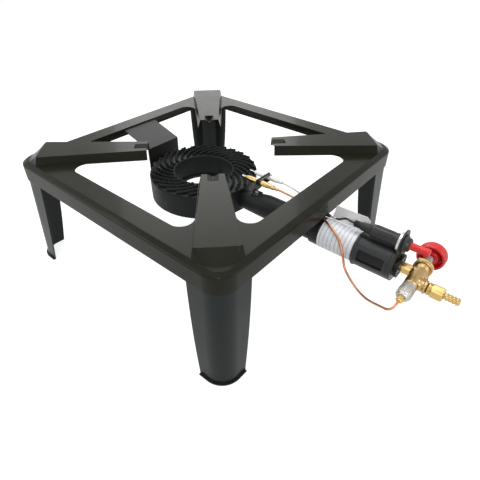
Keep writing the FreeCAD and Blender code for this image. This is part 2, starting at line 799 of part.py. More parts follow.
def make_burner_casting():
    """Cast iron: the ring's gas trough, the mixing neck, and the lugs that the straps bolt to."""
    body = new_body("burner_casting")
    wall = size("ring_wall")
    low = drum_bottom
    ring = new_sketch(body, "XY_Plane", low)
    circle(ring, ring_x, 0.0, size("ring_radius"))
    circle(ring, ring_x, 0.0, size("ring_bore"))
    pad(body, ring, drum_top - low)
    ledge = new_sketch(body, "XY_Plane", low)
    circle(ledge, ring_x, 0.0, size("ring_bore") + 1)
    circle(ledge, ring_x, 0.0, size("ring_bore") - size("bore_ledge"))
    pad(body, ledge, wall)
    lug = new_sketch(body, "XY_Plane", lug_z - size("lug_height") / 2)
    polygon(lug, box_corners(lug_face, lug_face + size("lug_reach") + wall / 2, -size("lug_width") / 2,
                             size("lug_width") / 2))
    pad(body, lug, size("lug_height"))
    circle_loft(body, "AdditiveLoft", (neck_root_x, axis_z - size("neck_root_drop"), size("neck_root_radius")),
                (size("neck_straight"), axis_z, size("neck_radius")))
    straight = circle(new_sketch(body, "YZ_Plane", size("neck_straight")), 0.0, axis_z, size("neck_radius"))
    pad(body, straight, spigot_x - size("neck_straight"))
    spigot = circle(new_sketch(body, "YZ_Plane", spigot_x), 0.0, axis_z, spigot_radius)
    pad(body, spigot, size("spigot_length"))
    seat = new_sketch(body, "XY_Plane", axis_z)
    polygon(seat, box_corners(pilot_x, pilot_x + size("pilot_plate_width"),
                              -size("pilot_plate_width") / 2, size("pilot_plate_width") / 2))
    pad(body, seat, size("pilot_seat_rise"))
    boss = new_sketch(body, "XY_Plane", axis_z + size("neck_radius") / 2)
    boss_x = hanger_x + size("strap_thick")
    boss_half = size("boss_half")
    polygon(boss, box_corners(boss_x, boss_x + size("boss_length"), -size("boss_y") - boss_half,
                              -size("boss_y") + boss_half))
    pad(body, boss, size("neck_radius") / 2 + size("boss_rise") + boss_half)
    trough = new_sketch(body, "XY_Plane", drum_top)
    circle(trough, ring_x, 0.0, size("ring_radius") - wall)
    circle(trough, ring_x, 0.0, size("ring_bore") + wall)
    pocket(body, trough, drum_top - low - wall)
    circle_loft(body, "SubtractiveLoft",
                (neck_root_x - wall - 1, axis_z - size("neck_root_drop"), size("neck_root_radius") - wall),
                (size("neck_straight"), axis_z, size("neck_bore")))
    bore = circle(new_sketch(body, "YZ_Plane", size("neck_straight")), 0.0, axis_z, size("neck_bore"))
    pocket(body, bore, spigot_x + size("spigot_length") - size("neck_straight"), reverse=True)
    lug_hole = circle(new_sketch(body, "YZ_Plane", lug_face), 0.0, lug_z, size("lug_screw_radius") + 0.02)
    pocket(body, lug_hole, size("lug_reach"), reverse=True)
    boss_hole = new_sketch(body, "YZ_Plane", boss_x)
    circle(boss_hole, -size("boss_y"), boss_screw_z, size("hanger_screw_radius") + 0.02)
    pocket(body, boss_hole, size("boss_length") - 1, reverse=True)
    seat_hole = new_sketch(body, "XY_Plane", pilot_seat_z)
    circle(seat_hole, pilot_x + size("pilot_plate_width") / 2, 0.0, size("pilot_screw_radius") + 0.02)
    pocket(body, seat_hole, size("pilot_screw_length"))


RIB_COUNT = 28
RIB_STATIONS = 7
RIB_SWEEP = math.radians(38)
PORT_ROWS = 5


def spiral(share):
    """The angle that a rib has turned through at a share of its way out."""
    return -RIB_SWEEP * share ** 1.2


def rib_corners():
    first = size("ring_bore") + 2.5
    last = size("ring_radius") - 1.5
    half = size("rib_thick") / 2
    sides = ([], [])
    for station in range(RIB_STATIONS):
        share = station / (RIB_STATIONS - 1)
        radius = first + (last - first) * share
        angle = spiral(share)
        for side, sign in zip(sides, (-1, 1)):
            side.append((radius * math.cos(angle) - half * (sign * math.sin(angle)),
                         radius * math.sin(angle) + half * (sign * math.cos(angle))))
    return sides[0] + sides[1][::-1]


def make_burner_cap():
    """The ring's lid: curved ribs with rows of flame ports between them."""
    body = new_body("burner_cap")
    plate = new_sketch(body, "XY_Plane", 0)
    circle(plate, 0.0, 0.0, size("ring_radius"))
    circle(plate, 0.0, 0.0, size("ring_bore"))
    pad(body, plate, size("cap_thick"))
    skirt = new_sketch(body, "XY_Plane", 0)
    inner = size("ring_bore") + size("ring_wall") + 0.4
    circle(skirt, 0.0, 0.0, inner)
    circle(skirt, 0.0, 0.0, inner + 2)
    pad(body, skirt, 4.0, reverse=True)
    rib = pad(body, polygon(new_sketch(body, "XY_Plane", size("cap_thick")), rib_corners()), size("rib_height"))
    ports = new_sketch(body, "XY_Plane", size("cap_thick"))
    half_step = math.pi / RIB_COUNT
    first = size("ring_bore") + size("ring_wall") + 4.5
    last = size("ring_radius") - size("ring_wall") - 2.5
    for row in range(PORT_ROWS):
        share = row / (PORT_ROWS - 1)
        radius = first + (last - first) * share
        angle = spiral(0.15 + 0.7 * share) + half_step
        circle(ports, radius * math.cos(angle), radius * math.sin(angle), size("port_radius"))
    holes = pocket(body, ports, size("cap_thick"))
    polar(body, [rib, holes], RIB_COUNT)
    put(body, ring_x, 0.0, drum_top)


# ------------------------------------------------------------------ mixing tube and air shutter

def windows(body, start, length, width, reach):
    """Two long windows, opposite each other, through a tube on its own X axis."""
    sketch = new_sketch(body, "XZ_Plane", 0)
    bend = size("window_bend")
    end = start + length
    half = width / 2
    polygon(sketch, [(start, -half, bend), (end, -half, bend), (end, half, bend), (start, half, bend)])
    pocket(body, sketch, reach * 3, both=True)


def make_mixing_tube():
    body = new_body("mixing_tube")
    start = spigot_x
    revolve(body, tube_outline(start, tube_end_x, tube_inside, size("tube_radius")))
    windows(body, shutter_x + size("window_inset"), size("window_length"),
            size("window_width"), size("tube_radius"))
    put(body, 0.0, 0.0, axis_z, Vector(1, 0, 0), -size("tube_window_roll").number)


def make_label():
    """The plain white wrap round the tube, and its upright tab."""
    outside = size("tube_radius") + size("label_gap") + size("label_thick")
    turned("label_wrap", tube_outline(label_x, label_end_x, outside - size("label_thick"), outside),
           0.0, 0.0, axis_z)
    body = new_body("label_tab")
    offset = size("tab_offset")
    low = axis_z + size("tab_foot")
    high = axis_z + size("tab_top")
    left = half_side + size("tab_start")
    right = half_side + size("tab_end")
    sketch = new_sketch(body, "XZ_Plane", -offset)
    slant = size("tab_slant")
    polygon(sketch, [(left - slant, low), (label_end_x - 1, low), (right, low + slant * 2),
                     (right + slant / 4, high - slant, 2.0), (right - slant, high), (left, high)])
    pad(body, sketch, size("tab_thick"), reverse=True)


def make_shutter():
    body = new_body("air_shutter")
    start = shutter_x
    lip = shutter_outside + size("shutter_lip")
    lip_end = start + size("shutter_lip_length")
    revolve(body, [(start, shutter_inside), (shutter_end, shutter_inside), (shutter_end, shutter_outside),
                   (lip_end, shutter_outside), (lip_end - 0.8, lip), (start + 0.8, lip),
                   (start, shutter_outside)])
    windows(body, start + size("window_inset"), size("window_length"), size("window_width"), shutter_outside)
    put(body, 0.0, 0.0, axis_z, Vector(1, 0, 0), -size("shutter_roll").number)
    screw = new_body("shutter_screw")
    root = size("tube_radius") + size("fit_gap")
    crest = shutter_outside + size("clamp_screw_height")
    head = size("clamp_screw_head")
    shank = size("clamp_screw_radius")
    revolve(screw, [(root, 0.0), (crest, 0.0), (crest, head), (shutter_outside, head), (shutter_outside, shank),
                    (root, shank)])
    roll = Rotation(Vector(1, 0, 0), -size("clamp_screw_roll").number) * Rotation(Vector(0, 0, 1), -90)
    screw.Placement = Placement(Vector(0, 0, 0), roll)
    bind(screw, "Placement.Base.x", shutter_end - size("clamp_screw_inset"))
    bind(screw, "Placement.Base.y", 0.0)
    bind(screw, "Placement.Base.z", axis_z)
    hole = circle(new_sketch(body, "XZ_Plane", 0), shutter_end - size("clamp_screw_inset"), 0.0,
                  size("clamp_screw_radius") + 0.01)
    hole.AttachmentOffset = Placement(Vector(0, 0, 0), Rotation(Vector(1, 0, 0),
                                      size("shutter_roll").number - size("clamp_screw_roll").number))
    pocket(body, hole, shutter_outside + 5, reverse=True)


def make_end_plate():
    """Closes the tube's end, with air holes, and stands up to carry the igniter."""
    body = new_body("end_plate")
    thick = size("plate_thick")
    start = tube_end_x
    disc = size("plate_disc")
    pad(body, circle(new_sketch(body, "YZ_Plane", start), 0.0, axis_z, shutter_outside), thick)
    rim = new_sketch(body, "YZ_Plane", start)
    circle(rim, 0.0, axis_z, size("tube_radius") + size("fit_gap"))
    circle(rim, 0.0, axis_z, shutter_outside)
    pad(body, rim, size("plate_rim"), reverse=True)
    room = circle(new_sketch(body, "YZ_Plane", start), size("piezo_y"), piezo_z, size("piezo_nut_radius") + 0.4)
    pocket(body, room, size("plate_rim"))
    pad(body, circle(new_sketch(body, "YZ_Plane", start), size("piezo_y"), piezo_z, disc), thick)
    web = new_sketch(body, "YZ_Plane", start)
    polygon(web, [(-disc * 0.8, axis_z), (disc * 0.8, axis_z), (disc * 0.8, piezo_z), (-disc * 0.8, piezo_z)])
    pad(body, web, thick)
    holes = new_sketch(body, "YZ_Plane", start)
    circle(holes, 0.0, axis_z, size("injector_radius") + 0.02)
    circle(holes, size("piezo_y"), piezo_z, size("piezo_thread") + 0.02)
    reach = size("air_hole_circle")
    for step in range(AIR_HOLES):
        angle = 2 * math.pi * step / AIR_HOLES
        circle(holes, reach * math.cos(angle), axis_z + reach * math.sin(angle), size("air_hole"))
    pocket(body, holes, thick, reverse=True)


def make_injector():
    radius = size("injector_radius")
    start = injector_x
    end = union_start + size("union_length") / 2
    flange = radius + 3
    turned("injector_holder", [(start, 2.6), (end, 2.6), (end, radius), (disc_start, radius),
                               (disc_start - 0.2, radius), (disc_start - 0.2, flange), (plate_end, flange),
                               (plate_end, radius), (start, radius)], 0.0, 0.0, axis_z)
    jet_start = start - size("jet_length") / 2
    turned("injector_jet", [(jet_start, size("jet_bore")), (start + 3, size("jet_bore")), (start + 3, 2.58),
                            (start, 2.58), (start, 4.2), (jet_start + 1, 4.2), (jet_start, 2.2)],
           0.0, 0.0, axis_z)
    nut = new_body("injector_locknut")
    pad(nut, circle(hexagon(new_sketch(nut, "YZ_Plane", tube_end_x - 5), size("union_flats")), 0.0, 0.0,
                    radius + 0.02), 5.0)
    put(nut, 0.0, 0.0, axis_z)
    disc = new_body("air_disc")
    revolve(disc, tube_outline(disc_start, disc_end, radius + size("disc_play"), size("disc_radius")))
    notch = new_sketch(disc, "YZ_Plane", disc_start)
    circle(notch, size("disc_radius") + 0.2, 0.0, size("notch_radius"))
    polar(disc, [pocket(disc, notch, size("disc_thick"), reverse=True)], NOTCH_COUNT, "X_Axis")
    put(disc, 0.0, 0.0, axis_z)
    union = new_body("outlet_union")
    pad(union, circle(hexagon(new_sketch(union, "YZ_Plane", union_start), size("union_flats")), 0.0, 0.0,
                      radius + 0.02), size("union_length"))
    put(union, 0.0, 0.0, axis_z)


NOTCH_COUNT = 30
AIR_HOLES = 6

# ------------------------------------------------------------------ tap

stem_end = knob_end - 4
plug_front = size("barrel_front") - 2
spigot_face = union_start + size("union_length") / 2 + 0.2
inlet_thread_end = inlet_end_x + 6


def make_tap_body():
    """The brass body: a barrel along Y, the outlet towards the tube and the inlet towards the hose."""
    body = new_body("tap_body")
    back = size("barrel_back")
    front = size("barrel_front")
    barrel = circle(new_sketch(body, "XZ_Plane", -back), tap_x, axis_z, size("barrel_radius"))
    pad(body, barrel, front - back, reverse=True)
    flange = circle(new_sketch(body, "XZ_Plane", -front), tap_x, axis_z, size("bonnet_radius"))
    pad(body, flange, 3.5)
    spigot = circle(new_sketch(body, "YZ_Plane", spigot_face), 0.0, axis_z, size("injector_radius"))
    pad(body, spigot, tap_x - spigot_face)
    neck = circle(new_sketch(body, "YZ_Plane", union_end + 0.2), 0.0, axis_z, size("injector_radius") + 1)
    pad(body, neck, tap_x - union_end - 0.2)
    inlet = circle(new_sketch(body, "YZ_Plane", tap_x), size("inlet_y"), axis_z, size("inlet_radius"))
    pad(body, inlet, inlet_end_x - tap_x)
    thread = circle(new_sketch(body, "YZ_Plane", tap_x), size("inlet_y"), axis_z, size("inlet_radius") - 1)
    pad(body, thread, inlet_thread_end - tap_x)
    seat = size("plug_radius") + size("plug_play")
    bore = circle(new_sketch(body, "XZ_Plane", -front), tap_x, axis_z, seat)
    pocket(body, bore, front - size("plug_back"), reverse=True)
    rod_way = circle(new_sketch(body, "XZ_Plane", -back), tap_x, axis_z, 2.2)
    pocket(body, rod_way, size("plug_back") - back)
    outlet_bore = circle(new_sketch(body, "YZ_Plane", spigot_face), 0.0, axis_z, 2.2)
    pocket(body, outlet_bore, tap_x - spigot_face, reverse=True)
    inlet_bore = circle(new_sketch(body, "YZ_Plane", inlet_thread_end), size("inlet_y"), axis_z, 3.0)
    pocket(body, inlet_bore, inlet_thread_end - tap_x)


def make_tap_inside():
    radius = size("plug_radius")
    stem = size("stem_radius")
    play = size("stem_play")
    back = size("plug_back") + 0.3
    rest = size("stem_back") - size("knob_push") - 1
    turned("tap_plug", [(back, 1.5), (rest, 1.5), (rest, stem + play), (plug_front, stem + play),
                        (plug_front, radius), (back, radius)], tap_x, 0.0, axis_z, "Y")
    turned("tap_stem", [(size("barrel_back") + 6, 0.0), (stem_end, 0.0), (stem_end, stem),
                        (size("stem_back"), stem), (size("stem_back"), 1.4), (size("barrel_back") + 6, 1.4)],
           tap_x, 0.0, axis_z, "Y")
    front = size("barrel_front")
    edge = size("bonnet_radius")
    turned("tap_bonnet", [(front, stem + play), (bonnet_end, stem + play), (bonnet_end, edge * 0.5),
                          (bonnet_end - 2.6, edge * 0.54), (bonnet_end - 2.6, edge), (front, edge)],
           tap_x, 0.0, axis_z, "Y")
    turned("tap_spring", tube_outline(bonnet_end, size("knob_back") + 1, stem + 0.5, stem + 1.7),
           tap_x, 0.0, axis_z, "Y")


def make_bonnet_screws():
    """Two cheese-head screws that hold the bonnet to the body."""
    heads = []
    for index, sign in enumerate((-1, 1)):
        head = doc.addObject("Part::Cylinder", f"bonnet_screw_{index}")
        bind(head, "Radius", size("bonnet_screw_radius"))
        bind(head, "Height", size("bonnet_screw_height"))
        head.Placement = Placement(Vector(0, 0, 0), Rotation(Vector(1, 0, 0), -90))
        bind(head, "Placement.Base.x", tap_x + size("bonnet_screw_out") * sign * 0.8)
        bind(head, "Placement.Base.y", bonnet_end - 2.6)
        bind(head, "Placement.Base.z", axis_z - size("bonnet_screw_out") * sign * 0.6)
        heads.append(head)
    group = doc.addObject("Part::Compound", "bonnet_screws")
    group.Label = "bonnet_screws"
    group.Links = heads
    parts["bonnet_screws"] = group


def make_knob():
    """A hollow moulded knob with a hub on the stem."""
    back = size("knob_back")
    radius = size("knob_radius")
    wall = size("knob_wall")
    stem = size("stem_radius")
    hub = size("knob_hub")
    floor = knob_end - wall
    turned("knob", [(back + 1, stem), (back + 1, hub), (floor, hub), (floor, radius - wall),
                    (back, radius - wall), (back, radius), (knob_end - 1.5, radius), (knob_end, radius - 1.5),
                    (knob_end, 0.0), (stem_end, 0.0), (stem_end, stem)], tap_x, 0.0, axis_z, "Y")


def make_inlet():
    start = inlet_end_x + 0.2
    end = start + size("inlet_nut_length")
    bore = size("inlet_radius") - 0.95
    stem = size("barb_radius")
    ridge = size("barb_ridge")
    nut = new_body("inlet_nut")
    pad(nut, circle(hexagon(new_sketch(nut, "YZ_Plane", start), size("inlet_flats")), 0.0, 0.0, stem + 0.05),
        size("inlet_nut_length"))
    round_way = circle(new_sketch(nut, "YZ_Plane", start), 0.0, 0.0, bore)
    pocket(nut, round_way, size("inlet_nut_length") - 4, reverse=True)
    put(nut, 0.0, size("inlet_y"), axis_z)
    washer_end = inlet_thread_end + 1
    turned("inlet_washer", tube_outline(inlet_thread_end, washer_end, 2.8, bore - 0.1),
           0.0, size("inlet_y"), axis_z)
    tip = end + size("barb_length")
    inner = size("barb_bore")
    outline = [(washer_end, inner), (tip, inner), (tip, stem)]
    pitch = size("barb_length") / 3.4
    for step in range(3):
        base = tip - pitch * step - 0.2
        outline += [(base, stem), (base - pitch * 0.62, ridge), (base - pitch * 0.8, ridge),
                    (base - pitch * 0.82, stem)]
    outline += [(end - 4, stem), (end - 4, bore - 0.1), (washer_end, bore - 0.1)]
    turned("hose_barb", outline, 0.0, size("inlet_y"), axis_z)


# ------------------------------------------------------------------ flame-failure device

nut_end = magnet_end - size("capillary_nut_length")
ferrule_start = thermo_x + size("thermo_tip_length") + size("thermo_length")
ferrule_end = ferrule_start + size("ferrule_length")


# Points on each lead's way, as shares of the way from its start to its end along X, Y and Z.
CAPILLARY_SHARES = (
    (0.134, 0.021, 0.019), (0.273, 0.1, 0.064), (0.388, 0.206, 0.174), (0.465, 0.331, 0.23),
    (0.54, 0.441, 0.438), (0.577, 0.503, 0.789), (0.602, 0.538, 1.17), (0.622, 0.574, 1.558),
    (0.663, 0.625, 1.83), (0.713, 0.699, 1.981), (0.775, 0.809, 2.034), (0.84, 0.926, 1.909),
    (0.901, 1.044, 1.611), (0.945, 1.144, 1.347), (0.974, 1.213, 1.17), (0.998, 1.184, 1.015),
)
WIRE_SHARES = (
    (0.217, 0.064, 0.022), (0.482, 0.357, 0.244), (0.747, 0.57, 0.467), (0.904, 0.945, 0.933),
    (0.952, 0.996, 0.998),
)
LEAD_SHARES = (
    (0.13, -0.0, 0.0), (0.333, 0.231, 0.469), (0.611, 0.754, 1.083), (0.833, 0.997, 1.002),
)


def route(start, end, shares):
    """Points from start to end, each at its shares of the way."""
    start = [Size.of(value) for value in start]
    end = [Size.of(value) for value in end]
    points = [start]
    for share in shares:
        points.append([first + (last - first) * part for first, last, part in zip(start, end, share)])
    return points + [end]


def make_magnet():
    back = size("barrel_back")
    radius = size("magnet_radius")
    turned("magnet_housing", [(magnet_end, 2.0), (magnet_end + 3, 2.0), (magnet_end + 3, radius - 2),
                              (back, radius - 2), (back, radius - 0.8), (back - 0.8, radius),
                              (magnet_end + 1.5, radius), (magnet_end, radius - 1.5)],
           tap_x, 0.0, axis_z, "Y")
    coil_end = back - size("knob_push") - 3.5
    turned("magnet_unit", [(magnet_end + 3, 0.0), (coil_end, 0.0), (coil_end, radius - 2.2),
                           (magnet_end + 3, radius - 2.2)], tap_x, 0.0, axis_z, "Y")
    turned("safety_valve", [(back - 2.5, 0.0), (back + 5.8, 0.0), (back + 5.8, 1.2), (back - 1, 1.2),
                            (back - 1, radius - 3.2), (back - 2.5, radius - 3.2)], tap_x, 0.0, axis_z, "Y")
    nut = new_body("capillary_nut")
    pad(nut, circle(hexagon(new_sketch(nut, "YZ_Plane", nut_end), size("capillary_nut_flats")), 0.0, 0.0,
                    size("capillary_radius") + 0.02), size("capillary_nut_length"))
    put(nut, tap_x, 0.0, axis_z, Vector(0, 0, 1), 90)


def make_thermocouple():
    y = size("thermo_y")
    z = pilot_z
    start = thermo_x
    body_start = start + size("thermo_tip_length")
    tip = size("thermo_tip_radius")
    turned("thermocouple_tip", [(start, 0.0), (body_start, 0.0), (body_start, tip), (start + 1, tip),
                                (start, tip * 0.4)], 0.0, y, z)
    radius = size("thermo_radius")
    turned("thermocouple_sleeve", [(body_start, 0.0), (ferrule_start, 0.0), (ferrule_start, radius * 0.8),
                                   (ferrule_start - 3, radius), (body_start + 3, radius),
                                   (body_start, radius * 0.55)], 0.0, y, z)
    turned("thermocouple_ferrule", rod_outline(ferrule_start, ferrule_end, size("ferrule_radius")), 0.0, y, z)
    bent_tube("capillary", route((ferrule_end, y, z), (tap_x, nut_end, axis_z), CAPILLARY_SHARES),
              size("capillary_radius"))


def make_electrode():
    y = size("electrode_y")
    z = pilot_z
    start = electrode_x
    ceramic_start = start + size("electrode_pin_length")
    ceramic_end = ceramic_start + size("ceramic_length")
    radius = size("ceramic_radius")
    turned("electrode_pin", rod_outline(start, ceramic_start, size("electrode_pin_radius")), 0.0, y, z)
    turned("electrode_ceramic", [(ceramic_start, 0.0), (ceramic_end, 0.0), (ceramic_end, radius - 0.6),
                                 (ceramic_end - 0.6, radius), (ceramic_start + 0.6, radius),
                                 (ceramic_start, radius - 0.6)], 0.0, y, z)
    bent_tube("electrode_wire", route((ceramic_end, y, z), (boot_start, boot_y, boot_z), WIRE_SHARES),
              size("lead_radius"))


boot_start = half_side + size("lead_boot_start")
boot_y = size("lead_boot_y")
boot_z = axis_z + size("lead_boot_rise")
lead_start = boot_start + size("lead_boot_length") + size("lead_ferrule_length")
piezo_boot_start = piezo_x - size("piezo_boot_length")


def make_lead():
    boot_end = boot_start + size("lead_boot_length")
    turned("lead_boot", rod_outline(boot_start, boot_end, size("lead_boot_radius")), 0.0, boot_y, boot_z)
    ferrule = rod_outline(boot_end, lead_start, size("lead_boot_radius") - 0.9)
    turned("lead_ferrule", ferrule, 0.0, boot_y, boot_z)
    bent_tube("ignition_lead", route((lead_start, boot_y, boot_z), (piezo_boot_start, size("piezo_y"), piezo_z),
                                     LEAD_SHARES), size("lead_radius"))


def make_pilot_bracket():
    """A small angle on the neck that holds the thermocouple and the electrode, and their clip."""
    body = new_body("pilot_bracket")
    thick = size("pilot_thick")
    x = pilot_x
    width = size("pilot_plate_width")
    foot = new_sketch(body, "XY_Plane", pilot_seat_z)
    polygon(foot, box_corners(x, x + width, -width / 2, width / 2))
    pad(body, foot, thick)
    z = pilot_z
    right = size("electrode_y") + size("ceramic_radius") + 2
    crest = z + size("thermo_radius") + 2
    wall = new_sketch(body, "YZ_Plane", x)
    polygon(wall, [(-width / 2, pilot_seat_z), (width / 2, pilot_seat_z), (right, z - 6), (right, crest, 3.0),
                   (size("thermo_y") - size("thermo_radius") - 3, crest, 3.0)])
    pad(body, wall, thick)
    holes = new_sketch(body, "YZ_Plane", x - 1)
    circle(holes, size("thermo_y"), z, size("thermo_radius") + 0.05)
    circle(holes, size("electrode_y"), z, size("ceramic_radius") + 0.05)
    pocket(body, holes, thick + 2, reverse=True)
    screw_hole = new_sketch(body, "XY_Plane", pilot_seat_z + thick)
    circle(screw_hole, x + width / 2, 0.0, size("pilot_screw_radius") + 0.1)
    pocket(body, screw_hole, thick)
    hex_screw("pilot_screw", size("pilot_screw_radius"), size("pilot_screw_length"), 5.5, 2.4,
              x + width / 2, 0.0, pilot_seat_z + thick, Vector(0, 1, 0), 90)
    clip = new_body("pilot_clip")
    band = new_sketch(clip, "YZ_Plane", x + thick)
    for grow in (0.06, 0.06 + size("clip_thick")):
        reach = size("thermo_radius") + grow
        polygon(band, [(size("thermo_y") - reach, z - reach, reach * 0.9),
                       (size("electrode_y") + reach, z - reach, reach * 0.9),
                       (size("electrode_y") + reach, z + reach, reach * 0.9),
                       (size("thermo_y") - reach, z + reach, reach * 0.9)])
    pad(clip, band, size("clip_width"))


# ------------------------------------------------------------------ igniter

def make_piezo():
    y = size("piezo_y")
    start = piezo_x
    radius = size("piezo_radius")
    thread = size("piezo_thread")
    button = size("button_radius")
    bore = button + size("button_play")
    washer_start = tube_end_x - size("piezo_washer_thick")
    boot = piezo_boot_start
    ribs = [(boot, 0.0), (start, 0.0), (start, 6.2), (boot + 10, 5.4)]
    for step in range(3):
        edge = boot + 9 - 3 * step
        ribs += [(edge, 4.6), (edge - 0.8, 4.6), (edge - 1.4, 3.4), (edge - 2.2, 3.4)]
    ribs += [(boot, 2.4)]
    turned("piezo_boot", ribs, 0.0, y, piezo_z)
    turned("piezo_body", [(start, 0.0), (start + 3, 0.0), (start + 3, bore), (collar_end - 1, bore),
                          (collar_end - 1, thread), (washer_start, thread), (washer_start, radius),
                          (start + 1, radius), (start, radius - 1)], 0.0, y, piezo_z)
    inner_end = collar_end - size("button_inside")
    element_end = start + 3 + size("piezo_element_length")
    turned("piezo_element", rod_outline(start + 3, element_end, button - 0.6), 0.0, y, piezo_z)
    turned("piezo_spring", tube_outline(element_end, inner_end, button - 2.2, button - 1.0), 0.0, y, piezo_z)
    turned("piezo_washer", tube_outline(washer_start, tube_end_x, thread + 0.02, size("piezo_nut_radius")),
           0.0, y, piezo_z)
    collar = size("collar_radius")
    hole = thread + size("fit_gap")
    step = collar_start + 2.5
    turned("piezo_collar", [(collar_start, hole), (collar_end, hole), (collar_end, collar - 1.2),
                            (collar_end - 1.2, collar), (step, collar), (step, collar + 2),
                            (collar_start, collar + 2)], 0.0, y, piezo_z)
    tip = collar_end + size("button_length")
    turned("piezo_button", [(inner_end, 0.0), (tip, 0.0), (tip, button - 2), (tip - 0.7, button - 0.8),
                            (tip - 2, button), (inner_end, button)], 0.0, y, piezo_z)


# ------------------------------------------------------------------ build, check and write

def build_all():
    make_top_frame()
    for label, angle in (("leg_front_right", 0), ("leg_rear_right", 90), ("leg_rear_left", 180),
                         ("leg_front_left", 270)):
        make_leg(label, angle)
    make_rear_strap()
    screw_length = size("lug_reach") + size("strap_thick") - 1
    hex_screw("lug_screw", size("lug_screw_radius"), screw_length, 10.0, 4.0, lug_face - size("strap_thick"),
              0.0, lug_z, Vector(0, 0, 1), 0)
    make_front_hanger()
    hanger_bolt = size("boss_length") + size("strap_thick") - 2
    hex_screw("hanger_screw", size("hanger_screw_radius"), hanger_bolt, 8.0, 3.5,
              hanger_x, -size("boss_y"), boss_screw_z, Vector(0, 0, 1), 0)
    make_burner_casting()
    make_burner_cap()
    make_mixing_tube()
    make_label()
    make_shutter()
    make_end_plate()
    make_injector()
    make_tap_body()
    make_tap_inside()
    make_bonnet_screws()
    make_knob()
    make_inlet()
    make_magnet()
    make_thermocouple()
    make_electrode()
    make_lead()
    make_pilot_bracket()
    make_piezo()


def check_and_write():
    doc.recompute()
    broken = [item.Label for item in doc.Objects if "Invalid" in item.State or "Error" in item.State]
    if broken:
        raise RuntimeError(f"failed features: {broken}")
    for label, item in parts.items():
        shape = item.Shape
        if shape.isNull() or not shape.isValid() or not shape.Solids:
            raise RuntimeError(f"{label}: no valid solid")
    os.makedirs("parts", exist_ok=True)
    for label, item in parts.items():
        item.Shape.exportStep(f"parts/{label}.step")
    print(len(parts), "parts written")


build_all()
check_and_write()
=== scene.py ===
import json
import logging
import math
from dataclasses import dataclass, field
from enum import Enum

import bmesh
import bpy
from mathutils import Matrix, Vector


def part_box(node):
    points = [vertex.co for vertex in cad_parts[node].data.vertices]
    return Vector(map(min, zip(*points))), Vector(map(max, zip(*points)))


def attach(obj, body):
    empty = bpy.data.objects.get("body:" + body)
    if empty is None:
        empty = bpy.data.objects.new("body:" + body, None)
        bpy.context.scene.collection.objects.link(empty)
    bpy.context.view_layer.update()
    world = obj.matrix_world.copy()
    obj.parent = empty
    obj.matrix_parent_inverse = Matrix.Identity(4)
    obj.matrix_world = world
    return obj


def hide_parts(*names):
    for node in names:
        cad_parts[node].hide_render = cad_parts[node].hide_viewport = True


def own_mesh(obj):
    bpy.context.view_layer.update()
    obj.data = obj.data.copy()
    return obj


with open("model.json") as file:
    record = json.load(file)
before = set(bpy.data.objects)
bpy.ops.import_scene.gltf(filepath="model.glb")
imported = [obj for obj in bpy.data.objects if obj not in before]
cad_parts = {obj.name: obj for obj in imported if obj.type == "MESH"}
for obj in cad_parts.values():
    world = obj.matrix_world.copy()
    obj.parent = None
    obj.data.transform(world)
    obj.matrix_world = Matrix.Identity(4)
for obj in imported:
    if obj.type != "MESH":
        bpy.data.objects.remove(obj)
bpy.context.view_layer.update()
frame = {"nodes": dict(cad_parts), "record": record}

MM = 0.001
LOG = logging.getLogger("burner_stand")
BODY_OF: dict[str, str] = {
    node: body for body, nodes in frame["record"]["behaviour"]["bodies"].items() for node in nodes
}


# ---------------------------------------------------------------- shader node groups

class Wiring:
    """A small helper that adds and joins nodes in one node tree."""

    def __init__(self, tree: bpy.types.NodeTree) -> None:
        """Args: tree: the tree that the nodes go in."""
        self.tree = tree

    def add(self, kind: str, **settings: object) -> bpy.types.Node:
        """Adds a node.

        Args:
            kind: the node's type name.
            settings: attributes to set on the node.

        Returns:
            The new node.
        """
        node = self.tree.nodes.new(kind)
        for key, value in settings.items():
            setattr(node, key, value)
        return node

    def join(self, source: bpy.types.NodeSocket, target: bpy.types.NodeSocket) -> None:
        """Joins one output to one input."""
        self.tree.links.new(source, target)

    def maths(self, operation: str, first: object, second: object = 0.0) -> bpy.types.NodeSocket:
        """Adds a Math node.

        Args:
            operation: the node's operation.
            first: a number or an output socket.
            second: a number or an output socket.

        Returns:
            The node's output.
        """
        node = self.add("ShaderNodeMath", operation=operation)
        for index, value in enumerate((first, second)):
            if isinstance(value, bpy.types.NodeSocket):
                self.join(value, node.inputs[index])
            else:
                node.inputs[index].default_value = value
        return node.outputs[0]

    def spread(self, value: bpy.types.NodeSocket, low: object, high: object,
               start: float = 0.3, end: float = 0.7) -> bpy.types.NodeSocket:
        """Maps a value from start..end on to low..high.

        Args:
            value: the value to map.
            low: the result at start, a number or a socket.
            high: the result at end, a number or a socket.
            start: where the range begins.
            end: where the range ends.

        Returns:
            The mapped value.
        """
        node = self.add("ShaderNodeMapRange")
        self.join(value, node.inputs["Value"])
        node.inputs["From Min"].default_value = start
        node.inputs["From Max"].default_value = end
        for name, item in (("To Min", low), ("To Max", high)):
            if isinstance(item, bpy.types.NodeSocket):
                self.join(item, node.inputs[name])
            else:
                node.inputs[name].default_value = item
        return node.outputs["Result"]

    def noise(self, place: bpy.types.NodeSocket, scale: object, detail: float = 3.0,
              rough: float = 0.5) -> bpy.types.NodeSocket:
        """Adds a noise texture and returns its grey output.

        Args:
            place: The coordinates that the noise reads.
            scale: The noise's scale, a number or a socket.
            detail: How many layers of finer noise it has.
            rough: The strength of each finer layer.

        Returns:
            The grey output.
        """
        node = self.add("ShaderNodeTexNoise")
        self.join(place, node.inputs["Vector"])
        if isinstance(scale, bpy.types.NodeSocket):
            self.join(scale, node.inputs["Scale"])
        else:
            node.inputs["Scale"].default_value = scale
        node.inputs["Detail"].default_value = detail
        node.inputs["Roughness"].default_value = rough
        return node.outputs["Fac"]


